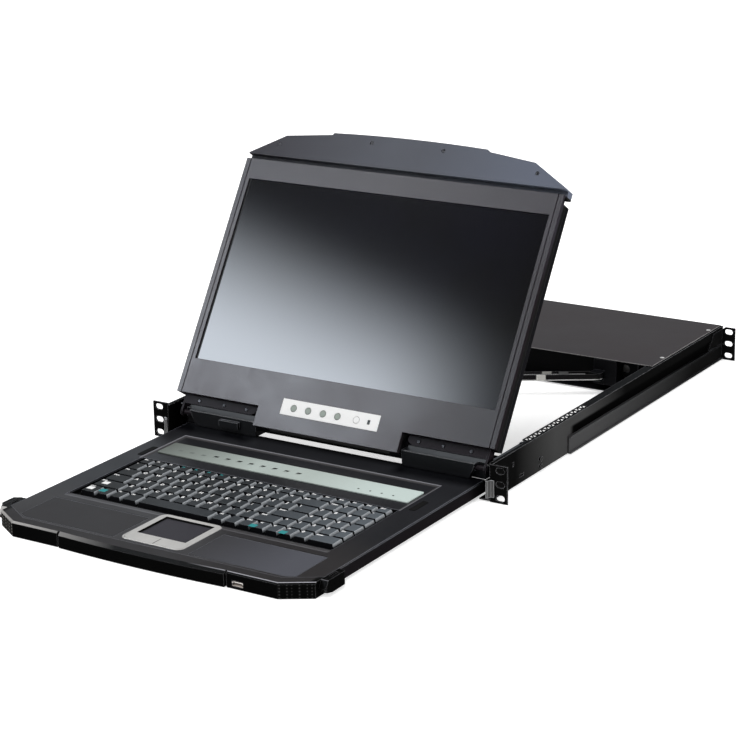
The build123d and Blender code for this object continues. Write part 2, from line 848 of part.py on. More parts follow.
button_names = ["menu_button", "down_button", "up_button", "exit_button", "screen_power_button"]
button_stroke = 1.0
button_front = bezel_front + 0.35
for name, x in zip(button_names, button_x + (power_button_x,)):
    with BuildPart() as screen_button:
        with BuildSketch(on_screen(bezel_back - 0.3)) as cap:
            with Locations((x, button_v)):
                Circle(button_radius)
        extrude(cap.sketch, amount=button_front - bezel_back + 0.3)
        with BuildSketch(on_screen(bezel_back - 0.3)) as button_foot:
            with Locations((x, button_v)):
                Circle(button_radius + 1.4)
        extrude(button_foot.sketch, amount=-1.2)
        front_edge = screen_button.edges().filter_by(GeomType.CIRCLE).sort_by(screen_axis)[-1]
        chamfer(front_edge, length=0.3)
    save(screen_button, name)

with BuildPart() as power_light:
    with BuildSketch(on_screen(bezel_back)) as light_face:
        with Locations((light_x, button_v)):
            Rectangle(3.2, 5.2)
    extrude(light_face.sketch, amount=button_front - bezel_back - 0.1)
save(power_light, "power_light")

panel_margin = 5.0
panel_back = -10.0
with BuildPart() as lcd_panel:
    with BuildSketch(on_screen(panel_back)) as panel_body:
        with Locations((0, active_height / 2)):
            Rectangle(2 * (active_half_width + panel_margin), active_height + 2 * panel_margin)
    extrude(panel_body.sketch, amount=bezel_back - panel_back)
    with BuildSketch(on_screen(bezel_back)) as panel_glass:
        with Locations((0, active_height / 2)):
            Rectangle(2 * active_half_width - 0.4, active_height - 0.4)
    extrude(panel_glass.sketch, amount=-bezel_back)
save(lcd_panel, "lcd_panel")

with BuildPart() as display_board:
    block_plane = on_screen(case_back + case_wall)
    board_middle_v = button_v + 4
    with BuildSketch(block_plane) as board_outline:
        with Locations((0, board_middle_v)):
            Rectangle(156, 46)
    extrude(board_outline.sketch, amount=5)
    with BuildSketch(block_plane) as board_posts:
        with Locations((0, board_middle_v)):
            with GridLocations(140, 36, 2, 2):
                Rectangle(6, 6)
        with Locations(*[(x, button_v) for x in button_x + (power_button_x,)]):
            Rectangle(6, 6)
    extrude(board_posts.sketch, amount=bezel_back - 0.3 - 1.2 - button_stroke - 0.4 - case_back - case_wall)
save(display_board, "display_board")

handle_screws = ((-176.5, 277.1), (-49.0, 291.5), (49.0, 291.5), (176.5, 277.1))
with BuildPart() as upper_handle:
    with BuildSketch(on_screen(case_back)) as handle_outline:
        with BuildLine():
            Polyline(
                (-handle_step_x, handle_top - 2.5),
                (-handle_edge_x, handle_edge_v),
                (-screen_half_width, handle_root),
                (-screen_half_width, case_top),
                (screen_half_width, case_top),
                (screen_half_width, handle_root),
                (handle_edge_x, handle_edge_v),
                (handle_step_x, handle_top - 2.5),
                (handle_step_x - 1.5, handle_top),
            )
            ThreePointArc(
                (handle_step_x - 1.5, handle_top),
                (0, handle_top + 2.4),
                (1.5 - handle_step_x, handle_top),
            )
            Line((1.5 - handle_step_x, handle_top), (-handle_step_x, handle_top - 2.5))
        make_face()
    extrude(handle_outline.sketch, amount=handle_front - case_back)
    slab(
        [
            (-screen_half_width, case_top),
            (screen_half_width, case_top),
            (screen_half_width, handle_root - 1.5),
            (-screen_half_width, handle_root - 1.5),
        ],
        on_screen(handle_gap_front),
        handle_front - handle_gap_front + 1,
        Mode.SUBTRACT,
    )
    with BuildSketch(on_screen(case_back)) as grip:
        with Locations((0, 281)):
            SlotOverall(190, 14)
    extrude(grip.sketch, amount=9, mode=Mode.SUBTRACT)
    front_face = upper_handle.faces().sort_by(screen_axis)[-1]
    chamfer(front_face.outer_wire().edges().sort_by(screen_up_axis)[1:], length=1.0)
    with BuildSketch(on_screen(handle_front)) as handle_seats:
        with Locations(*handle_screws):
            RegularPolygon(2.6, 8)
    extrude(handle_seats.sketch, amount=-1.0, mode=Mode.SUBTRACT)
save(upper_handle, "upper_handle")

hinge_plate_front = hinge_n + 5.2
hinge_plate_back = hinge_n + 3.4
leaf_inner = housing_inner + 4
hinge_screw_x = (leaf_inner + 14, leaf_inner + 46, leaf_inner + 82)
hinge_screw_v = cut_out_top - 6
arm_boss_radius = 5.4
with BuildPart() as hinge_plate_right:
    with BuildSketch(on_screen(hinge_plate_back)) as leaf:
        with BuildLine():
            Polyline(
                (leaf_inner, cut_out_top),
                (arm_plate_inner + arm_plate_sheet, cut_out_top),
                (arm_plate_inner + arm_plate_sheet, cut_out_top - 11),
                (leaf_inner + 6, cut_out_top - 11),
                (leaf_inner, cut_out_top - 7),
                close=True,
            )
        make_face()
    extrude(leaf.sketch, amount=hinge_plate_front - hinge_plate_back)
    arm_plane = Plane(
        origin=(arm_plate_inner, screen_origin_y, screen_origin_z),
        x_dir=screen_up,
        z_dir=(1, 0, 0),
    )
    with BuildSketch(arm_plane) as side_arm:
        with BuildLine():
            Polyline(
                (cut_out_top, hinge_plate_front),
                (cut_out_top, case_back + 1),
                (cut_out_top - 8, case_back + 1),
                (-hinge_to_screen, hinge_n - arm_boss_radius),
                (-hinge_to_screen, hinge_n + arm_boss_radius),
                close=True,
            )
        make_face()
        with Locations((-hinge_to_screen, hinge_n)):
            Circle(arm_boss_radius)
            Circle(pin_radius + pin_clearance, mode=Mode.SUBTRACT)
    extrude(side_arm.sketch, amount=arm_plate_sheet)
save(hinge_plate_right, "hinge_plate_right")
hinge_plate_left = mirrored(hinge_plate_right)
save(hinge_plate_left, "hinge_plate_left")

with BuildPart() as screen_screws:
    with BuildSketch(on_screen(handle_front - 1.0)) as heads:
        with Locations(*handle_screws):
            RegularPolygon(2.3, 8)
    extrude(heads.sketch, amount=0.9)
    with BuildSketch(on_screen(hinge_plate_front)) as hinge_heads:
        with Locations(*[(s * x, hinge_screw_v) for s in (-1, 1) for x in hinge_screw_x]):
            RegularPolygon(2.6, 8)
    extrude(hinge_heads.sketch, amount=1.2)
save(screen_screws, "screen_screws")

# Keyboard module: tray, deck, front handle
def deck_outline(half_width):
    """The deck's outline behind the front handle."""
    corner_y = inner_corner_y + (half_width - deck_half_width) * bumper_slope
    return [
        (-half_width, deck_rear),
        (-half_width, corner_y),
        (-inner_edge_x, inner_edge_y),
        (inner_edge_x, inner_edge_y),
        (half_width, corner_y),
        (half_width, deck_rear),
    ]


cover_bottom = deck_top - deck_sheet
with BuildPart() as tray_base:
    slab(deck_outline(plate_inner), Plane.XY.offset(deck_bottom), cover_bottom - deck_bottom)
    with BuildSketch(Plane.XY.offset(deck_bottom + tray_floor)) as tray_hollow:
        with BuildLine():
            Polyline(*deck_outline(plate_inner), close=True)
        make_face()
        offset(amount=-tray_wall, kind=Kind.INTERSECTION)
    extrude(tray_hollow.sketch, amount=cover_bottom - deck_bottom, mode=Mode.SUBTRACT)
    with BuildSketch(Plane.XY.offset(deck_bottom + tray_floor)) as tray_posts:
        with Locations(((well_left + well_right) / 2, (well_rear + well_front) / 2)):
            with GridLocations((well_right - well_left) / 2 - 10, well_rear - well_front - 22, 3, 2):
                Rectangle(7, 7)
    extrude(tray_posts.sketch, amount=well_floor - plate_sheet - deck_bottom - tray_floor)
save(tray_base, "tray_base")

with BuildPart() as deck_cover:
    slab(deck_outline(deck_half_width), Plane.XY.offset(cover_bottom), deck_sheet)
    block(
        (well_left, well_right),
        (well_front, well_rear),
        (cover_bottom - 1, deck_top + 1),
        Mode.SUBTRACT,
    )
    recess_middle_y = (recess_rear + well_rear - recess_slope) / 2
    recess_length = recess_rear - well_rear + recess_slope
    with BuildSketch(Plane.XY.offset(deck_top - recess_depth)) as recess_floor:
        with Locations((deck_middle_x, recess_middle_y)):
            Rectangle(2 * (recess_half_width - recess_slope), recess_length - 2 * recess_slope)
    with BuildSketch(Plane.XY.offset(deck_top)) as recess_mouth:
        with Locations((deck_middle_x, recess_middle_y)):
            Rectangle(2 * recess_half_width, recess_length)
    loft([recess_floor.sketch, recess_mouth.sketch], mode=Mode.SUBTRACT)
    slab(
        [
            (shelf_front, deck_top),
            (well_front + 1, deck_top - shelf_depth),
            (well_front + 1, deck_top + 1),
            (shelf_front, deck_top + 1),
        ],
        Plane.YZ.offset(well_left),
        well_right - well_left,
        Mode.SUBTRACT,
    )
    pad_corner = 9.0
    pad_middle_y = (pad_frame_rear + pad_frame_front) / 2
    with BuildSketch(Plane.XY.offset(cover_bottom)) as pad_hole:
        with Locations((deck_middle_x, pad_middle_y)):
            RectangleRounded(2 * pad_frame_half, pad_frame_rear - pad_frame_front, pad_corner)
    extrude(pad_hole.sketch, amount=deck_sheet, mode=Mode.SUBTRACT)
    for side in (-1, 1):
        palm_points = [
            (side * palm_inner, palm_front),
            (side * (palm_outer - 10), palm_front),
            (side * palm_outer, palm_front + 5),
            (side * palm_outer, palm_rear),
            (side * palm_inner, palm_rear),
        ]
        if side < 0:
            palm_points = palm_points[::-1]
        slab(palm_points, Plane.XY.offset(deck_top - 1.1), 3, Mode.SUBTRACT)
save(deck_cover, "deck_cover")

with BuildPart() as palm_pads:
    for side in (-1, 1):
        pad_points = [
            (side * (palm_inner + 0.3), palm_front + 0.3),
            (side * (palm_outer - 10.1), palm_front + 0.3),
            (side * (palm_outer - 0.3), palm_front + 5.2),
            (side * (palm_outer - 0.3), palm_rear - 0.3),
            (side * (palm_inner + 0.3), palm_rear - 0.3),
        ]
        if side < 0:
            pad_points = pad_points[::-1]
        slab(pad_points, Plane.XY.offset(deck_top - 1.1), 1.15)
save(palm_pads, "palm_pads")

with BuildPart() as lower_handle:
    with BuildSketch(Plane.XY.offset(bumper_bottom)) as bumper_outline:
        with BuildLine():
            Polyline(
                (-handle_half_width, front_edge_y - handle_step),
                (-handle_half_width, front_edge_y),
                (-front_edge_x, front_edge_y),
                (-deck_half_width, front_corner_y),
                (-deck_half_width, inner_corner_y),
                (-inner_edge_x, inner_edge_y),
                (inner_edge_x, inner_edge_y),
                (deck_half_width, inner_corner_y),
                (deck_half_width, front_corner_y),
                (front_edge_x, front_edge_y),
                (handle_half_width, front_edge_y),
                (handle_half_width, front_edge_y - handle_step),
            )
            ThreePointArc(
                (handle_half_width, front_edge_y - handle_step),
                (0, front_edge_y - handle_bow),
                (-handle_half_width, front_edge_y - handle_step),
            )
        make_face()
    extrude(bumper_outline.sketch, amount=deck_top - bumper_bottom)
    for side in (-1, 1):
        groove_x = (side * handle_half_width - groove_half, side * handle_half_width + groove_half)
        block(
            groove_x,
            (front_edge_y - handle_bow, front_edge_y + groove_depth),
            (bumper_bottom - 1, deck_top + 1),
            Mode.SUBTRACT,
        )
    top_edges = lower_handle.faces().sort_by(Axis.Z)[-1].edges()
    long_edges = top_edges.filter_by(lambda e: e.length > 20 and e.center().Y < front_corner_y + 4)
    centre_edges = long_edges.filter_by(lambda e: abs(e.center().X) < groove_half)
    chamfer(long_edges - centre_edges, length=corner_bevel)
    new_top = lower_handle.faces().sort_by(Axis.Z)[-1].edges()
    chamfer(new_top.filter_by(GeomType.CIRCLE).sort_by(Axis.Y)[0], length=bevel)
    usb_x = 122.5
    usb_z = -16.0
    usb_width = 13.6
    usb_height = 6.2
    usb_depth = 11.0
    with BuildSketch(Plane.XZ.offset(-front_edge_y + 1)) as usb_hole:
        with Locations((usb_x, usb_z)):
            Rectangle(usb_width, usb_height)
    extrude(usb_hole.sketch, amount=-usb_depth - 1, mode=Mode.SUBTRACT)
save(lower_handle, "lower_handle")

usb_wall = 0.5
with BuildPart() as usb_port:
    with BuildSketch(Plane.XZ.offset(-front_edge_y - 0.3)) as usb_shell:
        with Locations((usb_x, usb_z)):
            Rectangle(usb_width - 0.4, usb_height - 0.4)
            Rectangle(usb_width - 0.4 - 2 * usb_wall, usb_height - 0.4 - 2 * usb_wall, mode=Mode.SUBTRACT)
    extrude(usb_shell.sketch, amount=-usb_depth + 0.3)
    usb_back = Plane.XZ.offset(-front_edge_y - usb_depth + 1)
    with BuildSketch(usb_back) as usb_block:
        with Locations((usb_x, usb_z)):
            Rectangle(usb_width - 0.6, usb_height - 0.6)
    extrude(usb_block.sketch, amount=-1)
    with BuildSketch(usb_back) as usb_tongue:
        with Locations((usb_x, usb_z + 0.9)):
            Rectangle(usb_width - 3, 1.4)
    extrude(usb_tongue.sketch, amount=usb_depth - 3)
save(usb_port, "usb_port")

with BuildPart() as status_strip:
    block(
        (deck_middle_x - strip_half_width, deck_middle_x + strip_half_width),
        (strip_front, strip_rear),
        (deck_top - recess_depth, deck_top + 0.1),
    )
    chamfer(status_strip.edges().filter_by(Axis.Z), length=1)
save(status_strip, "status_strip")

with BuildPart() as rest_pads:
    with BuildSketch(Plane.XY.offset(deck_top)) as pad_feet:
        for side in (-1, 1):
            with Locations((side * rest_pad_x, (rest_pad_rear + rest_pad_front) / 2)):
                RectangleRounded(rest_pad_width, rest_pad_rear - rest_pad_front, 2.5)
    extrude(pad_feet.sketch, amount=rest_pad_rise)
save(rest_pads, "rest_pads")

# Touch pad and its two buttons
pad_frame_top = deck_top + 0.3
pad_border = 2.2
button_zone = (pad_frame_front + pad_border, pad_front - 2.5)
button_zone_half = pad_frame_half - pad_border
pad_button_gap = 0.3
pad_button_corner = pad_corner / 2
zone_x = (deck_middle_x - button_zone_half, deck_middle_x + button_zone_half)
with BuildPart() as touchpad_frame:
    with BuildSketch(Plane.XY.offset(cover_bottom)) as frame_ring:
        with Locations((deck_middle_x, pad_middle_y)):
            RectangleRounded(
                2 * pad_frame_half - 0.3,
                pad_frame_rear - pad_frame_front - 0.3,
                pad_corner - 0.2,
            )
        with Locations((deck_middle_x, (pad_rear + pad_front) / 2)):
            Rectangle(2 * pad_half, pad_rear - pad_front, mode=Mode.SUBTRACT)
        with BuildLine():
            Polyline(
                (zone_x[0], button_zone[1]),
                (zone_x[0], button_zone[0] + pad_button_corner),
                (zone_x[0] + pad_button_corner, button_zone[0]),
                (zone_x[1] - pad_button_corner, button_zone[0]),
                (zone_x[1], button_zone[0] + pad_button_corner),
                (zone_x[1], button_zone[1]),
                close=True,
            )
        make_face(mode=Mode.SUBTRACT)
    extrude(frame_ring.sketch, amount=pad_frame_top - cover_bottom)
    outer_edges = touchpad_frame.faces().sort_by(Axis.Z)[-1].outer_wire().edges()
    chamfer(outer_edges, length=0.5)
    for side in (-1, 1):
        foot = sorted((side * (pad_frame_half - 5), side * (pad_frame_half + 3)))
        foot_x = (deck_middle_x + foot[0], deck_middle_x + foot[1])
        block(foot_x, (pad_front + 2, pad_rear), (cover_bottom - 1.2, cover_bottom))
save(touchpad_frame, "touchpad_frame")

with BuildPart() as touchpad_surface:
    block(
        (deck_middle_x - pad_half + 0.2, deck_middle_x + pad_half - 0.2),
        (pad_front + 0.2, pad_rear - 0.2),
        (cover_bottom, pad_frame_top - pad_sunk),
    )
    block(
        (deck_middle_x - pad_half - 2, deck_middle_x + pad_half + 2),
        (pad_front - 1.2, pad_rear + 2),
        (cover_bottom - 1, cover_bottom),
    )
save(touchpad_surface, "touchpad_surface")

for side, name in ((-1, "left_pad_button"), (1, "right_pad_button")):
    with BuildPart() as pad_button:
        near = side * pad_button_gap / 2
        far = deck_middle_x + side * (button_zone_half - pad_button_gap)
        front = button_zone[0] + pad_button_gap
        rear = button_zone[1] - pad_button_gap
        corner = pad_button_corner
        button_points = [
            (near, rear),
            (near, front),
            (far - side * corner, front),
            (far, front + corner),
            (far, rear),
        ]
        if side < 0:
            button_points = button_points[::-1]
        slab(button_points, Plane.XY.offset(cover_bottom - 0.3), pad_frame_top - cover_bottom + 0.3)
        foot_far = far + side * 1.8
        block(
            (min(near, foot_far), max(near, foot_far)),
            (front + corner, rear),
            (cover_bottom - 1.3, cover_bottom - 0.3),
        )
    save(pad_button, name)

# Keys, row by row from the front; widths are in key units
key_rows = [
    [1.25, 1, 1, 1.25, 5.5, 1, 1, 1, 1, 1, 1, 1, 2],
    [2.25, 1, 1, 1, 1, 1, 1, 1, 1, 1, 1, 1.75, 1, 1, 1, 1, 1],
    [1.75, 1, 1, 1, 1, 1, 1, 1, 1, 1, 1, 1, 2.25, 1, 1, 1, 1],
    [1.5, 1, 1, 1, 1, 1, 1, 1, 1, 1, 1, 1, 1, 1.5, 1, 1, 1, 1],
    [1, 1, 1, 1, 1, 1, 1, 1, 1, 1, 1, 1, 1, 2, 1, 1, 1, 1],
    [1] * 19,
]
top_row_depth = 15.0
row_pitch = (key_rear - top_row_depth - key_front) / 5
key_height = key_top - well_floor
with BuildPart() as keys:
    with BuildSketch(Plane.XY.offset(well_floor)) as key_feet:
        for row, widths in enumerate(key_rows):
            depth = top_row_depth if row == 5 else row_pitch
            left = key_left
            for width in widths:
                place = (left + width * key_unit / 2, key_front + row * row_pitch + depth / 2)
                with Locations(place):
                    Rectangle(width * key_unit - key_gap, depth - key_gap)
                left += width * key_unit
    extrude(key_feet.sketch, amount=key_height, taper=degrees(atan(key_taper / key_height)))
save(keys, "keys")

well_x = (well_left, well_right)
rim_x = (well_left - plate_margin, well_right + plate_margin)
rim_y = (well_front - plate_margin, well_rear + plate_margin)
with BuildPart() as keyboard_plate:
    block(rim_x, rim_y, (well_floor - plate_sheet, cover_bottom))
    block(well_x, (well_front, well_rear), (well_floor, cover_bottom + 1), Mode.SUBTRACT)
save(keyboard_plate, "keyboard_plate")

# Side catches of the keyboard module
catch_inner = deck_half_width + running_gap
catch_width = 8.5
catch_top = deck_top + 0.1
catch_rear = -278.0
catch_front = -314.0
with BuildPart() as side_catch_right:
    slab(
        [
            (catch_front, catch_top - 8),
            (catch_front + 5, catch_top),
            (catch_rear, catch_top),
            (catch_rear, -18.8),
            (catch_front + 12, -19.2),
            (catch_front + 2, -17),
            (catch_front, -14),
        ],
        Plane.YZ.offset(catch_inner),
        catch_width,
    )
    with BuildSketch(Plane.XY.offset(catch_top)) as catch_slot:
        with Locations((catch_inner + catch_width / 2 - 1, -292)):
            Rectangle(2.6, 13)
    extrude(catch_slot.sketch, amount=-5, mode=Mode.SUBTRACT)
    chamfer(side_catch_right.edges().filter_by(Axis.Z).group_by(Axis.X)[-1], length=1.5)

# The left catch is drawn out further, with a wing along its outer side
wing_width = 4.8
with BuildPart() as side_catch_left:
    mirror(side_catch_right.part, about=Plane.YZ)
    with BuildSketch(Plane.XY.offset(catch_top - 6)) as wing:
        with BuildLine():
            Polyline(
                (-catch_inner - catch_width + 0.5, catch_rear - 2),
                (-catch_inner - catch_width - wing_width, catch_rear - 5),
                (-catch_inner - catch_width - wing_width, catch_front + 12),
                (-catch_inner - catch_width + 0.5, catch_front + 6),
                close=True,
            )
        make_face()
    extrude(wing.sketch, amount=6.4)
save(side_catch_right, "side_catch_right")
save(side_catch_left, "side_catch_left")

# Cable arm: two troughs, their cables, and the bracket on the chassis
turn = radians(arm_rest_angle)
elbow = (
    arm_pivot_x - arm_length * cos(turn),
    arm_rear_pivot_y - arm_length * sin(turn),
)
arm_upper_z = arm_lower_z + arm_tray_height + arm_level_gap
pivot_radius = 2.0
pivot_clearance = 0.06
clip_count = 4


def arm_trough(origin, direction, z):
    """One trough of the cable arm with its pin holes and its cable clips."""
    plane = Plane(origin=(origin[0], origin[1], z), x_dir=direction, z_dir=(0, 0, 1))
    width = 2 * arm_half_width
    with BuildSketch(plane) as floor:
        with Locations((arm_length / 2, 0)):
            SlotOverall(arm_length + width, width)
    extrude(floor.sketch, amount=arm_tray_height)
    with BuildSketch(plane.offset(arm_sheet)) as hollow:
        with Locations((arm_length / 2, 0)):
            SlotOverall(arm_length + width - 2 * arm_sheet, width - 2 * arm_sheet)
    extrude(hollow.sketch, amount=arm_tray_height, mode=Mode.SUBTRACT)
    with BuildSketch(plane.offset(arm_tray_height - 0.8)) as clips:
        with Locations((arm_length / 2, 0)):
            with GridLocations(arm_length / clip_count, 1, clip_count, 1):
                Rectangle(12, width)
    extrude(clips.sketch, amount=0.8)
    return plane


with BuildPart() as arm_rear_link:
    rear_plane = arm_trough((arm_pivot_x, arm_rear_pivot_y), (-cos(turn), -sin(turn), 0), arm_lower_z)
    rod(pivot_radius + pivot_clearance, rear_plane, arm_sheet, Mode.SUBTRACT)
    elbow_plane = Plane(origin=(elbow[0], elbow[1], arm_lower_z + arm_sheet))
    rod(pivot_radius, elbow_plane, arm_tray_height + arm_level_gap + 1.5)
save(arm_rear_link, "arm_rear_link")

with BuildPart() as arm_front_link:
    front_plane = arm_trough(elbow, (cos(turn), -sin(turn), 0), arm_upper_z)
    rod(pivot_radius + pivot_clearance, front_plane, arm_sheet, Mode.SUBTRACT)
save(arm_front_link, "arm_front_link")

for name, plane in (("arm_rear_cable", rear_plane), ("arm_front_cable", front_plane)):
    with BuildPart() as arm_cable:
        start = plane.from_local_coords((14, 0, arm_sheet + cable_radius))
        cable_plane = Plane(origin=start, x_dir=(0, 0, 1), z_dir=plane.x_dir)
        rod(cable_radius, cable_plane, arm_length - 28)
    save(arm_cable, name)

bracket_z = (-12.0, 20.0)
bracket_x = (arm_pivot_x - 8, arm_pivot_x + 23)
bracket_face = chassis_front - 0.4
with BuildPart() as arm_bracket:
    block(bracket_x, (bracket_face, bracket_face + 1.4), bracket_z)
    block((bracket_x[1] - 1.4, bracket_x[1]), (bracket_face, panel_y), bracket_z)
    block((bracket_x[0], bracket_x[0] + 1.4), (bracket_face, panel_y), bracket_z)
    tongue_x = (arm_pivot_x - 7, arm_pivot_x + 7)
    for z in (arm_lower_z - 0.6 - 1.2, arm_lower_z + arm_tray_height + 0.6):
        block(tongue_x, (arm_rear_pivot_y - 7, bracket_face), (z, z + 1.2))
    pin_plane = Plane(origin=(arm_pivot_x, arm_rear_pivot_y, arm_lower_z - 1.0))
    rod(pivot_radius, pin_plane, arm_tray_height + 2.0)
save(arm_bracket, "arm_bracket")
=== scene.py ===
import json
import math

import bmesh
import bpy
from mathutils import Matrix, Vector

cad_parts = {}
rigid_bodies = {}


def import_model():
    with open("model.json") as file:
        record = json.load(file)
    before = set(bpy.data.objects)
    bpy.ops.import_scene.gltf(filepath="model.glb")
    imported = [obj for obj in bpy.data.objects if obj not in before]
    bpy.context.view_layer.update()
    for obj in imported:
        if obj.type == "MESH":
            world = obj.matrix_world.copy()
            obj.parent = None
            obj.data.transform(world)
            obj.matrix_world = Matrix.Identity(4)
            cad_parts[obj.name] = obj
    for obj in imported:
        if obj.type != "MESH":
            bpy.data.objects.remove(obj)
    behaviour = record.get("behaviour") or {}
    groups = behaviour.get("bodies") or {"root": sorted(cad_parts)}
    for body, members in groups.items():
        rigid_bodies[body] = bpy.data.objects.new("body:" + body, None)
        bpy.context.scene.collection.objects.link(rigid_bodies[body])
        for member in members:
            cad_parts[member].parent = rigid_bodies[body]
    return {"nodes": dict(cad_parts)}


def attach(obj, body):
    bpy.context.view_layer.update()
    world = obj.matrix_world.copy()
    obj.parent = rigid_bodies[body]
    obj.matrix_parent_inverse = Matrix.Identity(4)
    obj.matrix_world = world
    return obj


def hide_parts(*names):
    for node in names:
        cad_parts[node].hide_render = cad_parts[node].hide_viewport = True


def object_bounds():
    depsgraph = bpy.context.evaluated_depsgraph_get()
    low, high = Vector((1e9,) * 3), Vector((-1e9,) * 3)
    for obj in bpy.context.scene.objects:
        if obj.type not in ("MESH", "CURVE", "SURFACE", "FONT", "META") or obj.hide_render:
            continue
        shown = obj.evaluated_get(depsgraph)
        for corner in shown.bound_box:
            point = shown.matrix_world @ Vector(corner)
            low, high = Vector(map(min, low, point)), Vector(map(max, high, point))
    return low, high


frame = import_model()
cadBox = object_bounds()
nodes = frame["nodes"]
scene = bpy.context.scene
mm = 0.001
print("frame loaded:", len(nodes), "nodes")


# Materials

def startMaterial(name):
    material = bpy.data.materials.new(name)
    material.use_nodes = True
    tree = material.node_tree
    tree.nodes.clear()
    output = tree.nodes.new("ShaderNodeOutputMaterial")
    shader = tree.nodes.new("ShaderNodeBsdfPrincipled")
    tree.links.new(shader.outputs["BSDF"], output.inputs["Surface"])
    return material, tree, shader


def objectSpace(tree, stretch=(1, 1, 1)):
    place = tree.nodes.new("ShaderNodeTexCoord")
    mapping = tree.nodes.new("ShaderNodeMapping")
    mapping.inputs["Scale"].default_value = stretch
    tree.links.new(place.outputs["Object"], mapping.inputs["Vector"])
    return mapping.outputs["Vector"]


def noise(tree, vector, scale, detail=4.0, rough=0.6):
    node = tree.nodes.new("ShaderNodeTexNoise")
    node.inputs["Scale"].default_value = scale
    node.inputs["Detail"].default_value = detail
    node.inputs["Roughness"].default_value = rough
    tree.links.new(vector, node.inputs["Vector"])
    return node.outputs["Fac"]


def remap(tree, value, low, high, fromLow=0.3, fromHigh=0.7):
    node = tree.nodes.new("ShaderNodeMapRange")
    node.inputs["From Min"].default_value = fromLow
    node.inputs["From Max"].default_value = fromHigh
    node.inputs["To Min"].default_value = low
    node.inputs["To Max"].default_value = high
    tree.links.new(value, node.inputs["Value"])
    return node.outputs["Result"]


def blendColours(tree, value, first, second):
    ramp = tree.nodes.new("ShaderNodeValToRGB")
    ramp.color_ramp.elements[0].position = 0.32
    ramp.color_ramp.elements[1].position = 0.68
    ramp.color_ramp.elements[0].color = (*first, 1)
    ramp.color_ramp.elements[1].color = (*second, 1)
    tree.links.new(value, ramp.inputs["Fac"])
    return ramp.outputs["Color"]


def roundedBump(tree, shader, height, distance, strength, edge):
    corner = tree.nodes.new("ShaderNodeBevel")
    corner.samples = 6
    corner.inputs["Radius"].default_value = edge
    bump = tree.nodes.new("ShaderNodeBump")
    bump.inputs["Distance"].default_value = distance
    bump.inputs["Strength"].default_value = strength
    tree.links.new(corner.outputs["Normal"], bump.inputs["Normal"])
    tree.links.new(height, bump.inputs["Height"])
    tree.links.new(bump.outputs["Normal"], shader.inputs["Normal"])
    return corner.outputs["Normal"]


def edgeMask(tree, roundedNormal, amount):
    flat = tree.nodes.new("ShaderNodeNewGeometry")
    compare = tree.nodes.new("ShaderNodeVectorMath")
    compare.operation = "DOT_PRODUCT"
    tree.links.new(roundedNormal, compare.inputs[0])
    tree.links.new(flat.outputs["Normal"], compare.inputs[1])
    return remap(tree, compare.outputs["Value"], amount, 0.0, 0.8, 0.985)


def mixColours(tree, factor, first, second):
    mix = tree.nodes.new("ShaderNodeMix")
    mix.data_type = "RGBA"
    tree.links.new(factor, mix.inputs["Factor"])
    tree.links.new(first, mix.inputs["A"])
    mix.inputs["B"].default_value = (*second, 1)
    return mix.outputs["Result"]


# The colour turns dark behind the front face, by depth along the given lean
def darkenBehindFront(tree, vector, colour, side):
    lean = math.radians(side["lean"])
    depth = tree.nodes.new("ShaderNodeVectorMath")
    depth.operation = "DOT_PRODUCT"
    depth.inputs[1].default_value = (0, -math.cos(lean), math.sin(lean))
    tree.links.new(vector, depth.inputs[0])
    behind = remap(tree, depth.outputs["Value"], 1.0, 0.0, side["from"], side["from"] + side["blend"])
    return mixColours(tree, behind, colour, side["colour"])


def axisRamp(tree, value, start, end):
    if start > end:
        return remap(tree, value, 1.0, 0.0, end, start)
    return remap(tree, value, 0.0, 1.0, start, end)


# Mixes a colour into faces picked by object position, face direction or a dot pattern; most zones below are
# painted light and shade
def zoneTint(tree, colour, zone):
    texture = tree.nodes.new("ShaderNodeTexCoord")
    ramps = []
    for direction, start, end in zone.get("spans", ()):
        ramps.append((texture.outputs["Object"], direction, start * mm, end * mm))
    for direction, start, end in zone.get("faces", ()):
        ramps.append((texture.outputs["Normal"], direction, start, end))
    if "dots" in zone:
        grid = tree.nodes.new("ShaderNodeTexVoronoi")
        grid.inputs["Scale"].default_value = zone["dots"]
        grid.inputs["Randomness"].default_value = 0.0
        tree.links.new(texture.outputs["Object"], grid.inputs["Vector"])
        spot = tree.nodes.new("ShaderNodeCombineXYZ")
        tree.links.new(grid.outputs["Distance"], spot.inputs["X"])
        ramps.append((spot.outputs["Vector"], (1, 0, 0), zone["dotEdge"], zone["dotEdge"] - 0.08))
    mask = None
    for source, direction, start, end in ramps:
        along = tree.nodes.new("ShaderNodeVectorMath")
        along.operation = "DOT_PRODUCT"
        along.inputs[1].default_value = direction
        tree.links.new(source, along.inputs[0])
        ramp = axisRamp(tree, along.outputs["Value"], start, end)
        if mask is None:
            mask = ramp
            continue
        both = tree.nodes.new("ShaderNodeMath")
        both.operation = "MULTIPLY"
        tree.links.new(mask, both.inputs[0])
        tree.links.new(ramp, both.inputs[1])
        mask = both.outputs["Value"]
    return mixColours(tree, mask, colour, zone["colour"])


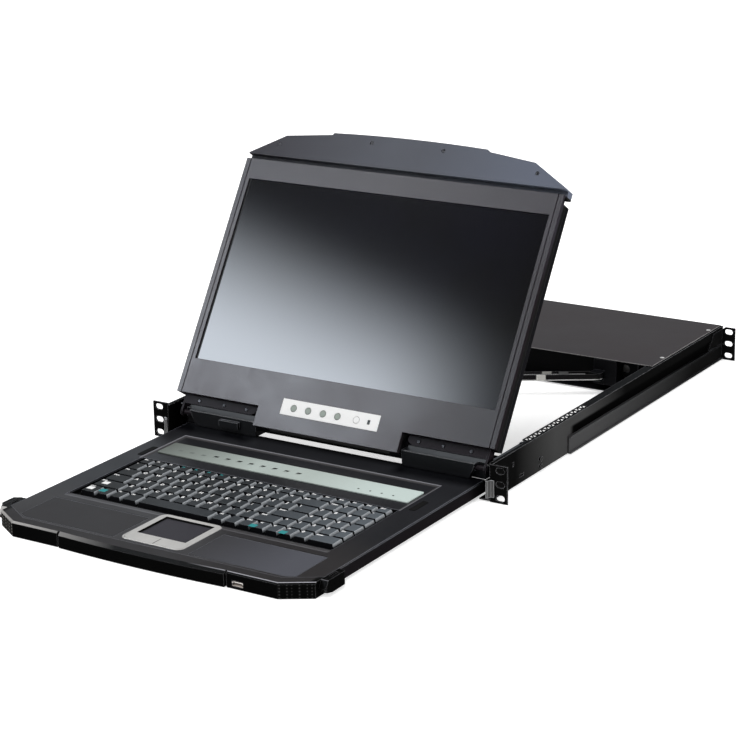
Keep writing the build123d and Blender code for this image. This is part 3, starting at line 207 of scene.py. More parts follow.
def coated(name, look):
    material, tree, shader = startMaterial(name)
    vector = objectSpace(tree, look.get("stretch", (1, 1, 1)))
    tone = noise(tree, vector, look["toneScale"])
    grain = noise(tree, vector, look["grainScale"], 2.0)
    dark = look["colour"]
    light = tuple(min(1.0, c * look["toneLift"]) for c in dark)
    rough = remap(tree, tone, look["rough"] - look["roughSpread"], look["rough"] + look["roughSpread"])
    tree.links.new(rough, shader.inputs["Roughness"])
    shader.inputs["Metallic"].default_value = look.get("metallic", 0.0)
    shader.inputs["Specular IOR Level"].default_value = look.get("specular", 0.5)
    rounded = roundedBump(tree, shader, grain, look["grainDepth"], look["grainStrength"], look["edge"])
    colour = blendColours(tree, tone, dark, light)
    for zone in look.get("zones", ()):
        colour = zoneTint(tree, colour, zone)
    # edgeTone is mixed in along the edges found by the Bevel normal; where it is lighter than the colour it
    # is a painted highlight
    if "edgeTone" in look:
        plain = colour
        colour = mixColours(tree, edgeMask(tree, rounded, look["edgeToneAmount"]), colour, look["edgeTone"])
        # edgeToneAbove keeps the edge tone only above the given heights
        if "edgeToneAbove" in look:
            height = tree.nodes.new("ShaderNodeSeparateXYZ")
            tree.links.new(vector, height.inputs["Vector"])
            above = remap(tree, height.outputs["Z"], 0.0, 1.0, *look["edgeToneAbove"])
            keep = tree.nodes.new("ShaderNodeMix")
            keep.data_type = "RGBA"
            tree.links.new(above, keep.inputs["Factor"])
            tree.links.new(plain, keep.inputs["A"])
            tree.links.new(colour, keep.inputs["B"])
            colour = keep.outputs["Result"]
    if "side" in look:
        colour = darkenBehindFront(tree, vector, colour, look["side"])
    # flank: side faces take a lighter colour, a painted highlight; they darken toward their feet over the
    # footShade heights, a painted shade
    if "flank" in look:
        side = tree.nodes.new("ShaderNodeAttribute")
        side.attribute_name = "flank"
        colour = mixColours(tree, side.outputs["Fac"], colour, look["flank"])
        height = tree.nodes.new("ShaderNodeSeparateXYZ")
        tree.links.new(vector, height.inputs["Vector"])
        low = remap(tree, height.outputs["Z"], 1.0, 0.0, *look["footShade"])
        colour = mixColours(tree, low, colour, look["foot"])
    tree.links.new(colour, shader.inputs["Base Color"])
    return material


# edgeTone here is a painted highlight along all edges of the paints
paintGrain = dict(toneScale=9.0, grainScale=900.0, toneLift=1.25, rough=0.42, roughSpread=0.05,
                  grainDepth=0.00012, grainStrength=0.3, edge=0.0006, specular=0.12,
                  edgeTone=(0.16, 0.165, 0.18), edgeToneAmount=0.5)
plasticGrain = dict(toneScale=14.0, grainScale=1400.0, toneLift=1.2, rough=0.5, roughSpread=0.05,
                    grainDepth=0.00010, grainStrength=0.4, edge=0.0007, specular=0.25)
metalGrain = dict(toneScale=25.0, grainScale=300.0, toneLift=1.2, rough=0.32, roughSpread=0.08,
                  grainDepth=0.00004, grainStrength=0.3, edge=0.0005, metallic=1.0,
                  stretch=(1.0, 0.06, 1.0))
pale = (0.75, 0.76, 0.78)
alongX, alongY, alongZ = (1, 0, 0), (0, 1, 0), (0, 0, 1)
leftward, rightward, forward = (-1, 0, 0), alongX, (0, -1, 0)

looks = {
    # Rails: painted highlight on the edges, a painted sheen on the outer face of the web along its middle,
    # and a painted shadow on the low rear part above the rear bracket
    "railPaint": coated("railPaint", {**paintGrain, "colour": (0.003, 0.003, 0.003), "specular": 0.02,
                                      "edgeTone": (0.40, 0.40, 0.42), "edgeToneAmount": 0.8, "zones": [
        dict(spans=[(alongY, 55, 150), (alongY, 330, 220)], faces=[(alongX, 0.8, 0.95)],
             colour=(0.040, 0.040, 0.040)),
        dict(spans=[(alongZ, 11, 8), (alongY, 186, 194)], colour=(0.001, 0.001, 0.001))]}),
    # Rear brackets: painted sheen growing toward the front end, and painted highlight on the edges
    "bracketPaint": coated("bracketPaint", {**paintGrain, "colour": (0.003, 0.003, 0.003), "zones": [
        dict(spans=[(alongY, 520, 230)], colour=(0.050, 0.050, 0.051))]}),
    "slideSteel": coated("slideSteel", {**metalGrain, "colour": (0.20, 0.20, 0.20)}),
    "runnerPaint": coated("runnerPaint", {**paintGrain, "colour": (0.006, 0.005, 0.006)}),
    "chassisPaint": coated("chassisPaint", {**paintGrain, "colour": (0.005, 0.005, 0.006), "rough": 0.5}),
    # painted highlight along the cover's edges
    "coverPaint": coated("coverPaint", {**paintGrain, "colour": (0.038, 0.033, 0.034), "rough": 0.48,
                                        "edge": 0.0012, "edgeTone": (0.55, 0.54, 0.54), "edgeToneAmount": 0.9}),
    # painted highlight along the carriage edges
    "darkSteel": coated("darkSteel", {**metalGrain, "colour": (0.05, 0.05, 0.055), "rough": 0.4,
                                      "edgeTone": pale, "edgeToneAmount": 0.6}),
    # painted highlight along the lever edges
    "leverSteel": coated("leverSteel", {**metalGrain, "colour": (0.10, 0.10, 0.10), "rough": 0.35,
                                        "metallic": 0.3, "edge": 0.0012, "edgeTone": pale, "edgeToneAmount": 1.0}),
    "brightSteel": coated("brightSteel", {**metalGrain, "colour": (0.66, 0.66, 0.65), "rough": 0.3,
                                          "metallic": 0.3}),
    "armSteel": coated("armSteel", {**metalGrain, "colour": (0.66, 0.66, 0.65), "rough": 0.3, "metallic": 0.3,
                                    "zones": [
                                        dict(spans=[(alongZ, -1.9, -1.5), (alongZ, 6.6, 6.2),
                                                    (alongY, 248, 256)],
                                             faces=[(alongZ, 0.5, 0.3)], colour=(0.012, 0.011, 0.012)),
                                        dict(spans=[(alongZ, 6.0, 6.4), (alongZ, 11.7, 11.3),
                                                    (alongY, 220, 212)],
                                             faces=[(alongZ, 0.5, 0.3)], colour=(0.012, 0.011, 0.012)),
                                        dict(faces=[(alongZ, 0.6, 0.9)], colour=(0.10, 0.10, 0.10)),
                                        dict(spans=[(alongX, -60, -58), (alongX, 36, 34), (alongZ, 2.4, 2.8),
                                                    (alongY, 248, 256)], colour=(0.75, 0.74, 0.70)),
                                        dict(spans=[(alongX, 84, 85), (alongX, 95, 94), (alongY, 248, 256)],
                                             colour=(0.75, 0.74, 0.70))]}),
    "portSteel": coated("portSteel", {**metalGrain, "colour": (0.020, 0.018, 0.016), "rough": 0.4,
                                      "metallic": 0.0,
                                      "zones": [
                                          dict(spans=[(alongZ, -16.2, -16.0), (alongZ, -14.2, -14.4)],
                                               colour=(0.95, 0.90, 0.86)),
                                          dict(spans=[(alongZ, -18.8, -18.6), (alongZ, -17.7, -17.9)],
                                               colour=(0.55, 0.50, 0.46))]}),
    "screwSteel": coated("screwSteel", {**metalGrain, "colour": (0.14, 0.14, 0.15), "rough": 0.35}),
    # Hinge housings: painted highlight along the upper edges, kept off the lower edges
    "hingePlastic": coated("hingePlastic", {**plasticGrain, "colour": (0.0075, 0.0080, 0.0095), "rough": 0.32,
                                            "specular": 0.5, "edge": 0.0010, "edgeTone": (0.34, 0.35, 0.38),
                                            "edgeToneAmount": 0.9, "edgeToneAbove": (0.002, 0.004)}),
    # painted highlight along the hinge plate edges
    "platePaint": coated("platePaint", {**paintGrain, "colour": (0.012, 0.0095, 0.012), "rough": 0.4,
                                        "edgeToneAmount": 0.9}),
    "casePaint": coated("casePaint", {**paintGrain, "colour": (0.005, 0.005, 0.006)}),
    # Bezel: painted shade darkening it toward the right and toward the top; behind the front face the colour
    # turns dark
    "bezelPlastic": coated("bezelPlastic", {**plasticGrain, "colour": (0.037, 0.031, 0.036), "rough": 0.36,
                                            "specular": 0.85, "zones": [
                                                dict(spans=[(rightward, 60, 200)],
                                                     colour=(0.009, 0.006, 0.008)),
                                                dict(spans=[(alongZ, 190, 250)],
                                                     colour=(0.022, 0.019, 0.026))],
                                            "side": dict(
                                                lean=32.5, blend=0.0004, colour=(0.004, 0.004, 0.004),
                                                **{"from": -0.00071})}),
    # Handle: painted highlight on the edges, painted shade toward the left and painted light toward the right
    "handleMetal": coated("handleMetal", {**paintGrain, "colour": (0.056, 0.060, 0.074), "rough": 0.42,
                                          "specular": 0.3, "edgeTone": (0.4, 0.41, 0.44), "zones": [
                                              dict(spans=[(leftward, 20, 190)], colour=(0.026, 0.025, 0.032)),
                                              dict(spans=[(rightward, 20, 170)],
                                                   colour=(0.095, 0.108, 0.145))]}),
    # Deck: painted light toward the front, sloped faces lighter and a bright line at the slope tops as
    # painted highlights, painted shadow at the feet of the hinge housings, painted highlight on the edges
    "deckPaint": coated("deckPaint", {**paintGrain, "colour": (0.015, 0.0155, 0.018), "rough": 0.38,
                                      "specular": 0.3, "edge": 0.0012, "edgeTone": (0.26, 0.27, 0.31),
                                      "edgeToneAmount": 0.9, "zones": [
                                          dict(spans=[(forward, 190, 262)], colour=(0.031, 0.029, 0.030)),
                                          dict(faces=[(alongZ, 0.6, 0.8), (alongZ, 0.998, 0.992)],
                                               colour=(0.052, 0.050, 0.052)),
                                          dict(faces=[(alongZ, 0.6, 0.8), (alongZ, 0.998, 0.975)],
                                               spans=[(alongZ, -5.1, -4.7)], colour=(0.20, 0.20, 0.22)),
                                          dict(spans=[(alongY, -18, -2), (rightward, 92, 104)],
                                               colour=(0.002, 0.002, 0.003)),
                                          dict(spans=[(alongY, -18, -2), (leftward, 92, 104)],
                                               colour=(0.002, 0.002, 0.003))]}),
    # Palm pads: painted light toward the right
    "palmPlastic": coated("palmPlastic",
                          {**plasticGrain, "colour": (0.034, 0.033, 0.035), "rough": 0.5, "zones": [
        dict(spans=[(rightward, 30, 150)], colour=(0.085, 0.088, 0.104))]}),
    # Bumper: painted highlight on the edges, top faces lighter as painted light, a painted highlight on the
    # front chamfer toward the left and a painted highlight line on the right; the dots on the corner chamfers
    # are its texture, bright on the left corner as painted highlight and faint on the right
    "bumperPlastic": coated("bumperPlastic",
                            {**plasticGrain, "colour": (0.0015, 0.0015, 0.0015), "rough": 0.4,
                                              "specular": 0.1, "edgeTone": (0.25, 0.25, 0.26), "edgeToneAmount": 0.5,
                                              "zones": [
                                                  dict(faces=[(alongZ, 0.9, 0.98)],
                                                       spans=[(leftward, 199, 196), (rightward, 199, 196)],
                                                       colour=(0.031, 0.029, 0.030)),
                                                  dict(faces=[((0, -0.7071, 0.7071), 0.85, 0.95)],
                                                       spans=[(leftward, 30, 200)],
                                                       colour=(0.42, 0.41, 0.40)),
                                                  dict(faces=[(alongZ, 0.5, 0.6), (alongZ, 0.9, 0.8)],
                                                       spans=[(rightward, 60, 110), (alongZ, -5.2, -5.0)],
                                                       colour=(0.34, 0.34, 0.37)),
                                                  dict(faces=[((-0.7071, -0.7071, 0), 0.85, 0.95)],
                                                       dots=290.0,
                                                       dotEdge=0.32, colour=(0.34, 0.33, 0.31)),
                                                  dict(faces=[((0.7071, -0.7071, 0), 0.85, 0.95)], dots=290.0,
                                                       dotEdge=0.30, colour=(0.03, 0.03, 0.03))]}),
    "palePlastic": coated("palePlastic", {**plasticGrain, "colour": (0.90, 0.90, 0.90), "toneLift": 1.03}),
    "buttonPlastic": coated("buttonPlastic", {**plasticGrain, "colour": (0.30, 0.34, 0.31), "toneLift": 1.1,
                                              "edgeTone": (0.06, 0.07, 0.065), "edgeToneAmount": 0.9}),
    # Status strip: painted shade toward the left, painted light toward the right
    "stripPlastic": coated("stripPlastic", {**plasticGrain, "colour": (0.43, 0.49, 0.46), "toneLift": 1.1,
                                            "rough": 0.4, "zones": [
                                                dict(spans=[(leftward, 40, 175)], colour=(0.13, 0.145, 0.13)),
                                                dict(spans=[(rightward, 30, 130)],
                                                     colour=(0.57, 0.66, 0.63))]}),
    # Keys: painted shade toward the left, painted light toward the right, painted shade on the front faces,
    # painted highlight on the side faces and edges, painted shade low on the sides
    "keyPlastic": coated("keyPlastic", {**plasticGrain, "colour": (0.030, 0.034, 0.038), "rough": 0.42,
                                        "edgeTone": (0.34, 0.37, 0.40), "edgeToneAmount": 0.6, "edge": 0.0005,
                                        "zones": [
                                            dict(spans=[(leftward, 0, 160)], colour=(0.012, 0.013, 0.013)),
                                            dict(spans=[(rightward, 0, 160)], colour=(0.10, 0.115, 0.13)),
                                            dict(faces=[((0, -1, 0), 0.6, 0.9)],
                                                 colour=(0.003, 0.003, 0.004))],
                                        "flank": (0.36, 0.38, 0.40), "foot": (0.003, 0.003, 0.004),
                                        "footShade": (-0.0086, -0.0066)}),
    # Touch pad frame: painted shade on the inner walls of the pad opening
    "padSilver": coated("padSilver", {**metalGrain, "colour": (0.56, 0.55, 0.53), "rough": 0.4,
                                      "metallic": 0.3, "zones": [
                                          dict(faces=[(alongZ, 0.5, 0.3)],
                                               spans=[(alongX, -36, -35.6), (alongX, 30, 29.6),
                                                      (alongY, -299.6, -299.2), (alongY, -245.6, -246)],
                                               colour=(0.003, 0.003, 0.003))]}),
    "padPlastic": coated("padPlastic", {**plasticGrain, "colour": (0.035, 0.033, 0.040), "rough": 0.5}),
    "blackPlastic": coated("blackPlastic", {**plasticGrain, "colour": (0.004, 0.004, 0.004), "rough": 0.4}),
    "softRubber": coated("softRubber", {**plasticGrain, "colour": (0.008, 0.008, 0.008), "rough": 0.75}),
    "boardGreen": coated("boardGreen", {**plasticGrain, "colour": (0.012, 0.07, 0.03), "rough": 0.35}),
    "lightGreen": coated("lightGreen", {**plasticGrain, "colour": (0.010, 0.014, 0.012), "rough": 0.2}),
    "whiteInk": coated("whiteInk", {**plasticGrain, "colour": (0.88, 0.88, 0.88), "toneLift": 1.02,
                                    "rough": 0.6}),
    "faintInk": coated("faintInk", {**plasticGrain, "colour": (0.16, 0.18, 0.17), "toneLift": 1.05}),
    "tealInk": coated("tealInk", {**plasticGrain, "colour": (0.035, 0.26, 0.27), "toneLift": 1.05,
                                  "rough": 0.6}),
}


def panelGlass():
    look = dict(colour=(0.004, 0.004, 0.009), rim=(0.002, 0.002, 0.002), rough=0.10, specular=1.0)
    material, tree, shader = startMaterial("panelGlass")
    vector = objectSpace(tree)
    matt = noise(tree, vector, 2600.0, 2.0)
    tone = noise(tree, vector, 3.0)
    tree.links.new(blendColours(tree, tone, look["rim"], look["colour"]), shader.inputs["Base Color"])
    tree.links.new(remap(tree, matt, look["rough"] - 0.03, look["rough"] + 0.03), shader.inputs["Roughness"])
    shader.inputs["Specular IOR Level"].default_value = look["specular"]
    roundedBump(tree, shader, matt, 0.00002, 0.2, 0.0003)
    return material


def braid():
    look = dict(colour=(0.006, 0.006, 0.007), light=(0.22, 0.22, 0.22), rough=0.5)
    material, tree, shader = startMaterial("braidSleeve")
    vector = objectSpace(tree)
    waves = []
    for turn in (0.7, -0.7):
        mapping = tree.nodes.new("ShaderNodeMapping")
        mapping.inputs["Rotation"].default_value = (turn, turn, turn)
        wave = tree.nodes.new("ShaderNodeTexWave")
        wave.inputs["Scale"].default_value = 260.0
        tree.links.new(vector, mapping.inputs["Vector"])
        tree.links.new(mapping.outputs["Vector"], wave.inputs["Vector"])
        waves.append(wave.outputs["Fac"])
    weave = tree.nodes.new("ShaderNodeMath")
    weave.operation = "MAXIMUM"
    tree.links.new(waves[0], weave.inputs[0])
    tree.links.new(waves[1], weave.inputs[1])
    tree.links.new(
        blendColours(tree, weave.outputs["Value"], look["colour"], look["light"]), shader.inputs["Base Color"]
    )
    shader.inputs["Roughness"].default_value = look["rough"]
    roundedBump(tree, shader, weave.outputs["Value"], 0.0004, 0.8, 0.0003)
    return material


looks["panelGlass"] = panelGlass()
looks["braidSleeve"] = braid()

nodeLooks = {
    "railPaint": ["rail_right", "rail_left"],
    "bracketPaint": ["rear_bracket_right", "rear_bracket_left"],
    "slideSteel": ["slide_outer_right", "slide_outer_left"],
    "runnerPaint": ["keyboard_runner_right", "keyboard_runner_left"],
    "chassisPaint": ["chassis_base", "chassis_front_panel", "arm_bracket", "cross_bar"],
    "coverPaint": ["chassis_cover"],
    "armSteel": ["arm_rear_link", "arm_front_link"],
    "brightSteel": ["power_supply", "rear_connectors"],
    "leverSteel": ["release_lever_right", "release_lever_left"],
    "darkSteel": ["carriage_right", "carriage_left"],
    "platePaint": ["hinge_plate_right", "hinge_plate_left", "hinge_pins"],
    "boardGreen": ["circuit_board", "display_board"],
    "blackPlastic": ["mains_inlet", "power_rocker", "keyboard_plate"],
    "hingePlastic": ["hinge_housing_right", "hinge_housing_left"],
    "casePaint": ["screen_back_cover"],
    "bezelPlastic": ["screen_bezel"],
    "palePlastic": ["osd_plate", "screen_power_button"],
    "buttonPlastic": ["menu_button", "down_button", "up_button", "exit_button"],
    "lightGreen": ["power_light"],
    "panelGlass": ["lcd_panel"],
    "handleMetal": ["upper_handle"],
    "deckPaint": ["tray_base", "deck_cover"],
    "palmPlastic": ["palm_pads"],
    "bumperPlastic": ["lower_handle", "side_catch_right", "side_catch_left"],
    "stripPlastic": ["status_strip"],
    "softRubber": ["rest_pads"],
    "padSilver": ["touchpad_frame", "left_pad_button", "right_pad_button"],
    "padPlastic": ["touchpad_surface"],
    "portSteel": ["usb_port"],
    "braidSleeve": ["arm_rear_cable", "arm_front_cable"],
    "keyPlastic": ["keys"],
}
for lookName, members in nodeLooks.items():
    for member in members:
        slots = nodes[member].data.materials
        slots.clear()
        slots.append(looks[lookName])
print("materials set on", sum(len(m) for m in nodeLooks.values()), "nodes")


# Small tools for the pieces

def addPiece(name, mesh, look, body, replaced=()):
    piece = bpy.data.objects.new(name, mesh)
    scene.collection.objects.link(piece)
    if look:
        mesh.materials.clear()
        mesh.materials.append(looks[look])
    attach(piece, body)
    if replaced:
        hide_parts(*replaced)
    return piece


def meshFrom(name, bm, smooth=False):
    mesh = bpy.data.meshes.new(name)
    bmesh.ops.recalc_face_normals(bm, faces=bm.faces)
    for face in bm.faces:
        face.smooth = smooth
    bm.to_mesh(mesh)
    bm.free()
    return mesh


def hiddenCollection(name, meshes):
    group = bpy.data.collections.new(name)
    for index, mesh in enumerate(meshes):
        item = bpy.data.objects.new("%s%02d" % (name, index), mesh)
        group.objects.link(item)
    return group


def scatter(name, points, kinds, group, material, turns=None):
    base = bpy.data.meshes.new(name + "Points")
    base.from_pydata([tuple(p) for p in points], [], [])
    kindData = base.attributes.new("kind", "INT", "POINT")
    kindData.data.foreach_set("value", kinds)
    turnData = base.attributes.new("turn", "FLOAT_VECTOR", "POINT")
    turnData.data.foreach_set("vector", [v for t in (turns or [(0, 0, 0)] * len(points)) for v in t])
    carrier = bpy.data.objects.new(name + "Carrier", base)
    scene.collection.objects.link(carrier)
    tree = bpy.data.node_groups.new(name + "Tree", "GeometryNodeTree")
    tree.interface.new_socket("Geometry", in_out="INPUT", socket_type="NodeSocketGeometry")
    shapes = tree.interface.new_socket("Shapes", in_out="INPUT", socket_type="NodeSocketCollection")
    finish = tree.interface.new_socket("Finish", in_out="INPUT", socket_type="NodeSocketMaterial")
    tree.interface.new_socket("Geometry", in_out="OUTPUT", socket_type="NodeSocketGeometry")
    start = tree.nodes.new("NodeGroupInput")
    end = tree.nodes.new("NodeGroupOutput")
    info = tree.nodes.new("GeometryNodeCollectionInfo")
    info.inputs["Separate Children"].default_value = True
    info.inputs["Reset Children"].default_value = True
    pick = tree.nodes.new("GeometryNodeInputNamedAttribute")
    pick.data_type = "INT"
    pick.inputs["Name"].default_value = "kind"
    turn = tree.nodes.new("GeometryNodeInputNamedAttribute")
    turn.data_type = "FLOAT_VECTOR"
    turn.inputs["Name"].default_value = "turn"
    place = tree.nodes.new("GeometryNodeInstanceOnPoints")
    place.inputs["Pick Instance"].default_value = True
    real = tree.nodes.new("GeometryNodeRealizeInstances")
    paint = tree.nodes.new("GeometryNodeSetMaterial")
    link = tree.links.new
    link(start.outputs["Geometry"], place.inputs["Points"])
    link(start.outputs["Shapes"], info.inputs["Collection"])
    link(info.outputs["Instances"], place.inputs["Instance"])
    link(pick.outputs["Attribute"], place.inputs["Instance Index"])
    link(turn.outputs["Attribute"], place.inputs["Rotation"])
    link(place.outputs["Instances"], real.inputs["Geometry"])
    link(real.outputs["Geometry"], paint.inputs["Geometry"])
    link(start.outputs["Finish"], paint.inputs["Material"])
    link(paint.outputs["Geometry"], end.inputs["Geometry"])
    modifier = carrier.modifiers.new("scatter", "NODES")
    modifier.node_group = tree
    modifier[shapes.identifier] = group
    modifier[finish.identifier] = material
    bpy.context.view_layer.update()
    depsgraph = bpy.context.evaluated_depsgraph_get()
    mesh = bpy.data.meshes.new_from_object(carrier.evaluated_get(depsgraph))
    mesh.name = name
    carrier.modifiers.remove(modifier)
    bpy.data.objects.remove(carrier)
    for item in list(group.objects):
        bpy.data.objects.remove(item)
    return mesh


# Camera, as fitted to the photograph

view = dict(place=(1.370, -2.031, 0.859), azimuth=32.73, elevation=17.27, roll=-1.19, focal=2272.0,
            frameWidth=736.0, sensor=36.0)


def makeCamera():
    azimuth, elevation, roll = (math.radians(view[k]) for k in ("azimuth", "elevation", "roll"))
    back = Vector((math.sin(azimuth) * math.cos(elevation), -math.cos(azimuth) * math.cos(elevation),
                   math.sin(elevation)))
    right = (-back).cross(Vector((0, 0, 1))).normalized()
    up = right.cross(-back)
    rolledRight = math.cos(roll) * right + math.sin(roll) * up
    rolledUp = -math.sin(roll) * right + math.cos(roll) * up
    data = bpy.data.cameras.new("photoCamera")
    data.sensor_width = view["sensor"]
    data.lens = view["sensor"] * view["focal"] / view["frameWidth"]
    data.clip_end = 60
    camera = bpy.data.objects.new("photoCamera", data)
    turn = Matrix((rolledRight, rolledUp, back)).transposed().to_4x4()
    camera.matrix_world = Matrix.Translation(view["place"]) @ turn
    scene.collection.objects.link(camera)
    scene.camera = camera


makeCamera()
print("camera set")


# The screen's own axes, as in the CAD source

screen = dict(lean=math.radians(32.5), hingeY=15.3, hingeZ=9.3, toHinge=64.0, toFace=11.4)
sinLean, cosLean = math.sin(screen["lean"]), math.cos(screen["lean"])
screenUp = Vector((0, sinLean, cosLean))
screenOut = Vector((0, -cosLean, sinLean))
screenOrigin = Vector((
    0,
    screen["hingeY"] + screen["toHinge"] * sinLean - screen["toFace"] * cosLean,
    screen["hingeZ"] + screen["toHinge"] * cosLean + screen["toFace"] * sinLean,
))


def onScreen(x, v, n):
    return (Vector((x, 0, 0)) + screenOrigin + v * screenUp + n * screenOut) * mm


screenTurn = Matrix((Vector((1, 0, 0)), screenUp, screenOut)).transposed()


# Key caps

keyLook = dict(left=-170.0, right=165.0, front=-228.0, rear=-110.0, topRow=15.0, gap=1.4, foot=-10.0,
               top=-4.3, inset=1.05, sideSlope=2.0, soft=0.35)
keyRows = [
    ([1.25, 1, 1, 1.25, 5.5, 1, 1, 1, 1, 1, 1, 1, 2],
     ["Ctrl", "", "Fn", "Alt", "", "Alt", "", "Ctrl", "<", "v", ">", "0", "Enter"]),
    ([2.25, 1, 1, 1, 1, 1, 1, 1, 1, 1, 1, 1.75, 1, 1, 1, 1, 1],
     ["Shift", "Z", "X", "C", "V", "B", "N", "M", ",", ".", "/", "Shift", "^", "1", "2", "3", "Ent"]),
    ([1.75, 1, 1, 1, 1, 1, 1, 1, 1, 1, 1, 1, 2.25, 1, 1, 1, 1],
     ["Caps", "A", "S", "D", "F", "G", "H", "J", "K", "L", ";", "'", "Enter", "4", "5", "6", ""]),
    ([1.5, 1, 1, 1, 1, 1, 1, 1, 1, 1, 1, 1, 1, 1.5, 1, 1, 1, 1],
     ["Tab", "Q", "W", "E", "R", "T", "Y", "U", "I", "O", "P", "[", "]", "\\", "7", "8", "9", "+"]),
    ([1, 1, 1, 1, 1, 1, 1, 1, 1, 1, 1, 1, 1, 2, 1, 1, 1, 1],
     ["`", "1", "2", "3", "4", "5", "6", "7", "8", "9", "0", "-", "=", "Back", "Num", "/", "*", "-"]),
    ([1] * 19,
     ["Esc", "F1", "F2", "F3", "F4", "F5", "F6", "F7", "F8", "F9", "F10", "F11", "F12", "Prt", "Scr",
      "Brk", "Ins", "Del", "End"]),
]
tealKeys = {(5, 3), (5, 4), (5, 5), (5, 6), (0, 1)}
keyUnit = (keyLook["right"] - keyLook["left"]) / 19
rowPitch = (keyLook["rear"] - keyLook["topRow"] - keyLook["front"]) / 5


def capMesh(name, width, depth):
    bm = bmesh.new()
    inset, height = keyLook["inset"], keyLook["top"] - keyLook["foot"]
    levels = [(0.0, 0.0), (inset, height)]
    rings = []
    for step, z in levels:
        w, d = width / 2 - step * keyLook["sideSlope"], depth / 2 - step
        rings.append([bm.verts.new((x * mm, y * mm, z * mm))
                      for x, y in ((-w, -d), (w, -d), (w, d), (-w, d))])
    bm.faces.new(rings[0][::-1])
    for i in range(4):
        j = (i + 1) % 4
        bm.faces.new((rings[0][i], rings[0][j], rings[1][j], rings[1][i]))
    top = bm.faces.new(rings[1])
    edges = list(top.edges) + [e for e in bm.edges if abs(e.verts[0].co.z - e.verts[1].co.z) > 1e-6]
    bmesh.ops.bevel(bm, geom=edges, offset=keyLook["soft"] * mm, segments=2, affect="EDGES", profile=0.6)
    mesh = meshFrom(name, bm)
    # flank marks the side faces, which keyPlastic lights with a painted highlight
    flank = mesh.attributes.new("flank", "FLOAT", "FACE")
    flank.data.foreach_set("value", [1.0 if abs(p.normal.x) > 0.5 else 0.0 for p in mesh.polygons])
    return mesh


def layKeys():
    sizes, places, kinds, labels = [], [], [], []
    for row, (widths, texts) in enumerate(keyRows):
        depth = keyLook["topRow"] if row == 5 else rowPitch
        left = keyLook["left"]
        for column, (width, text) in enumerate(zip(widths, texts)):
            size = (round(width * keyUnit - keyLook["gap"], 3), round(depth - keyLook["gap"], 3))
            if size not in sizes:
                sizes.append(size)
            centre = (left + width * keyUnit / 2, keyLook["front"] + row * rowPitch + depth / 2)
            places.append((centre[0] * mm, centre[1] * mm, keyLook["foot"] * mm))
            kinds.append(sizes.index(size))
            labels.append((text, centre, size, (row, column)))
            left += width * keyUnit
    caps = [capMesh("capShape%02d" % i, *size) for i, size in enumerate(sizes)]
    mesh = scatter("keyCaps", places, kinds, hiddenCollection("capShapes", caps), looks["keyPlastic"])
    addPiece("keyCaps", mesh, "keyPlastic", "keyboard_module", ["keys"])
    return labels


def textOutline(text, size):
    curve = bpy.data.curves.new("legend", "FONT")
    curve.body = text
    curve.size = size
    curve.resolution_u = 2
    curve.offset = size * 0.045
    holder = bpy.data.objects.new("legend", curve)
    scene.collection.objects.link(holder)
    bpy.context.view_layer.update()
    mesh = bpy.data.meshes.new_from_object(holder.evaluated_get(bpy.context.evaluated_depsgraph_get()))
    bpy.data.objects.remove(holder)
    return mesh


def printLegends(labels):
    look = dict(size=6.2, small=3.9, lift=0.03, margin=0.2)
    inks = {"whiteInk": bmesh.new(), "tealInk": bmesh.new()}
    cache = {}
    for text, centre, size, key in labels:
        if not text:
            continue
        height = look["size"] if len(text) == 1 else look["small"]
        if (text, height) not in cache:
            cache[(text, height)] = textOutline(text, height * mm)
        mesh = cache[(text, height)]
        left = centre[0] - size[0] / 2 + keyLook["inset"] * keyLook["sideSlope"] + look["margin"]
        rise = centre[1] + size[1] / 2 - keyLook["inset"] - look["margin"] - height * 0.72
        shift = Vector((left * mm, rise * mm, (keyLook["top"] + look["lift"]) * mm))
        bm = inks["tealInk" if key in tealKeys else "whiteInk"]
        made = [bm.verts.new(v.co + shift) for v in mesh.vertices]
        for polygon in mesh.polygons:
            bm.faces.new([made[i] for i in polygon.vertices])
    for ink, bm in inks.items():
        for face in bm.faces:
            face.normal_update()
            if face.normal.z < 0:
                face.normal_flip()
        mesh = bpy.data.meshes.new("keyLegends_" + ink)
        bm.to_mesh(mesh)
        bm.free()
        addPiece("keyLegends_" + ink, mesh, ink, "keyboard_module")


printLegends(layKeys())
print("key caps and legends made")


# Marks on the status strip

marks = dict(size=(6.6, 3.6), dot=1.3, lift=0.03, top=-4.4, pitch=16.2, first=-100.5, windowY=-66.5,
             faintY=-69.5, dots=[97, 112.2, 127, 141.8], dotY=-74.8)


def flatMark(name, outline):
    bm = bmesh.new()
    bm.faces.new([bm.verts.new((x * mm, y * mm, 0)) for x, y in outline])
    mesh = bpy.data.meshes.new(name)
    bm.to_mesh(mesh)
    bm.free()
    return mesh


def setMarks(name, spots, outline, look, top=marks["top"], body="keyboard_module"):
    shapes = hiddenCollection(name + "Shapes", [flatMark(name + "Shape", outline)])
    points = [(x * mm, y * mm, (top + marks["lift"]) * mm) for x, y in spots]
    mesh = scatter(name, points, [0] * len(points), shapes, looks[look])
    addPiece(name, mesh, look, body)


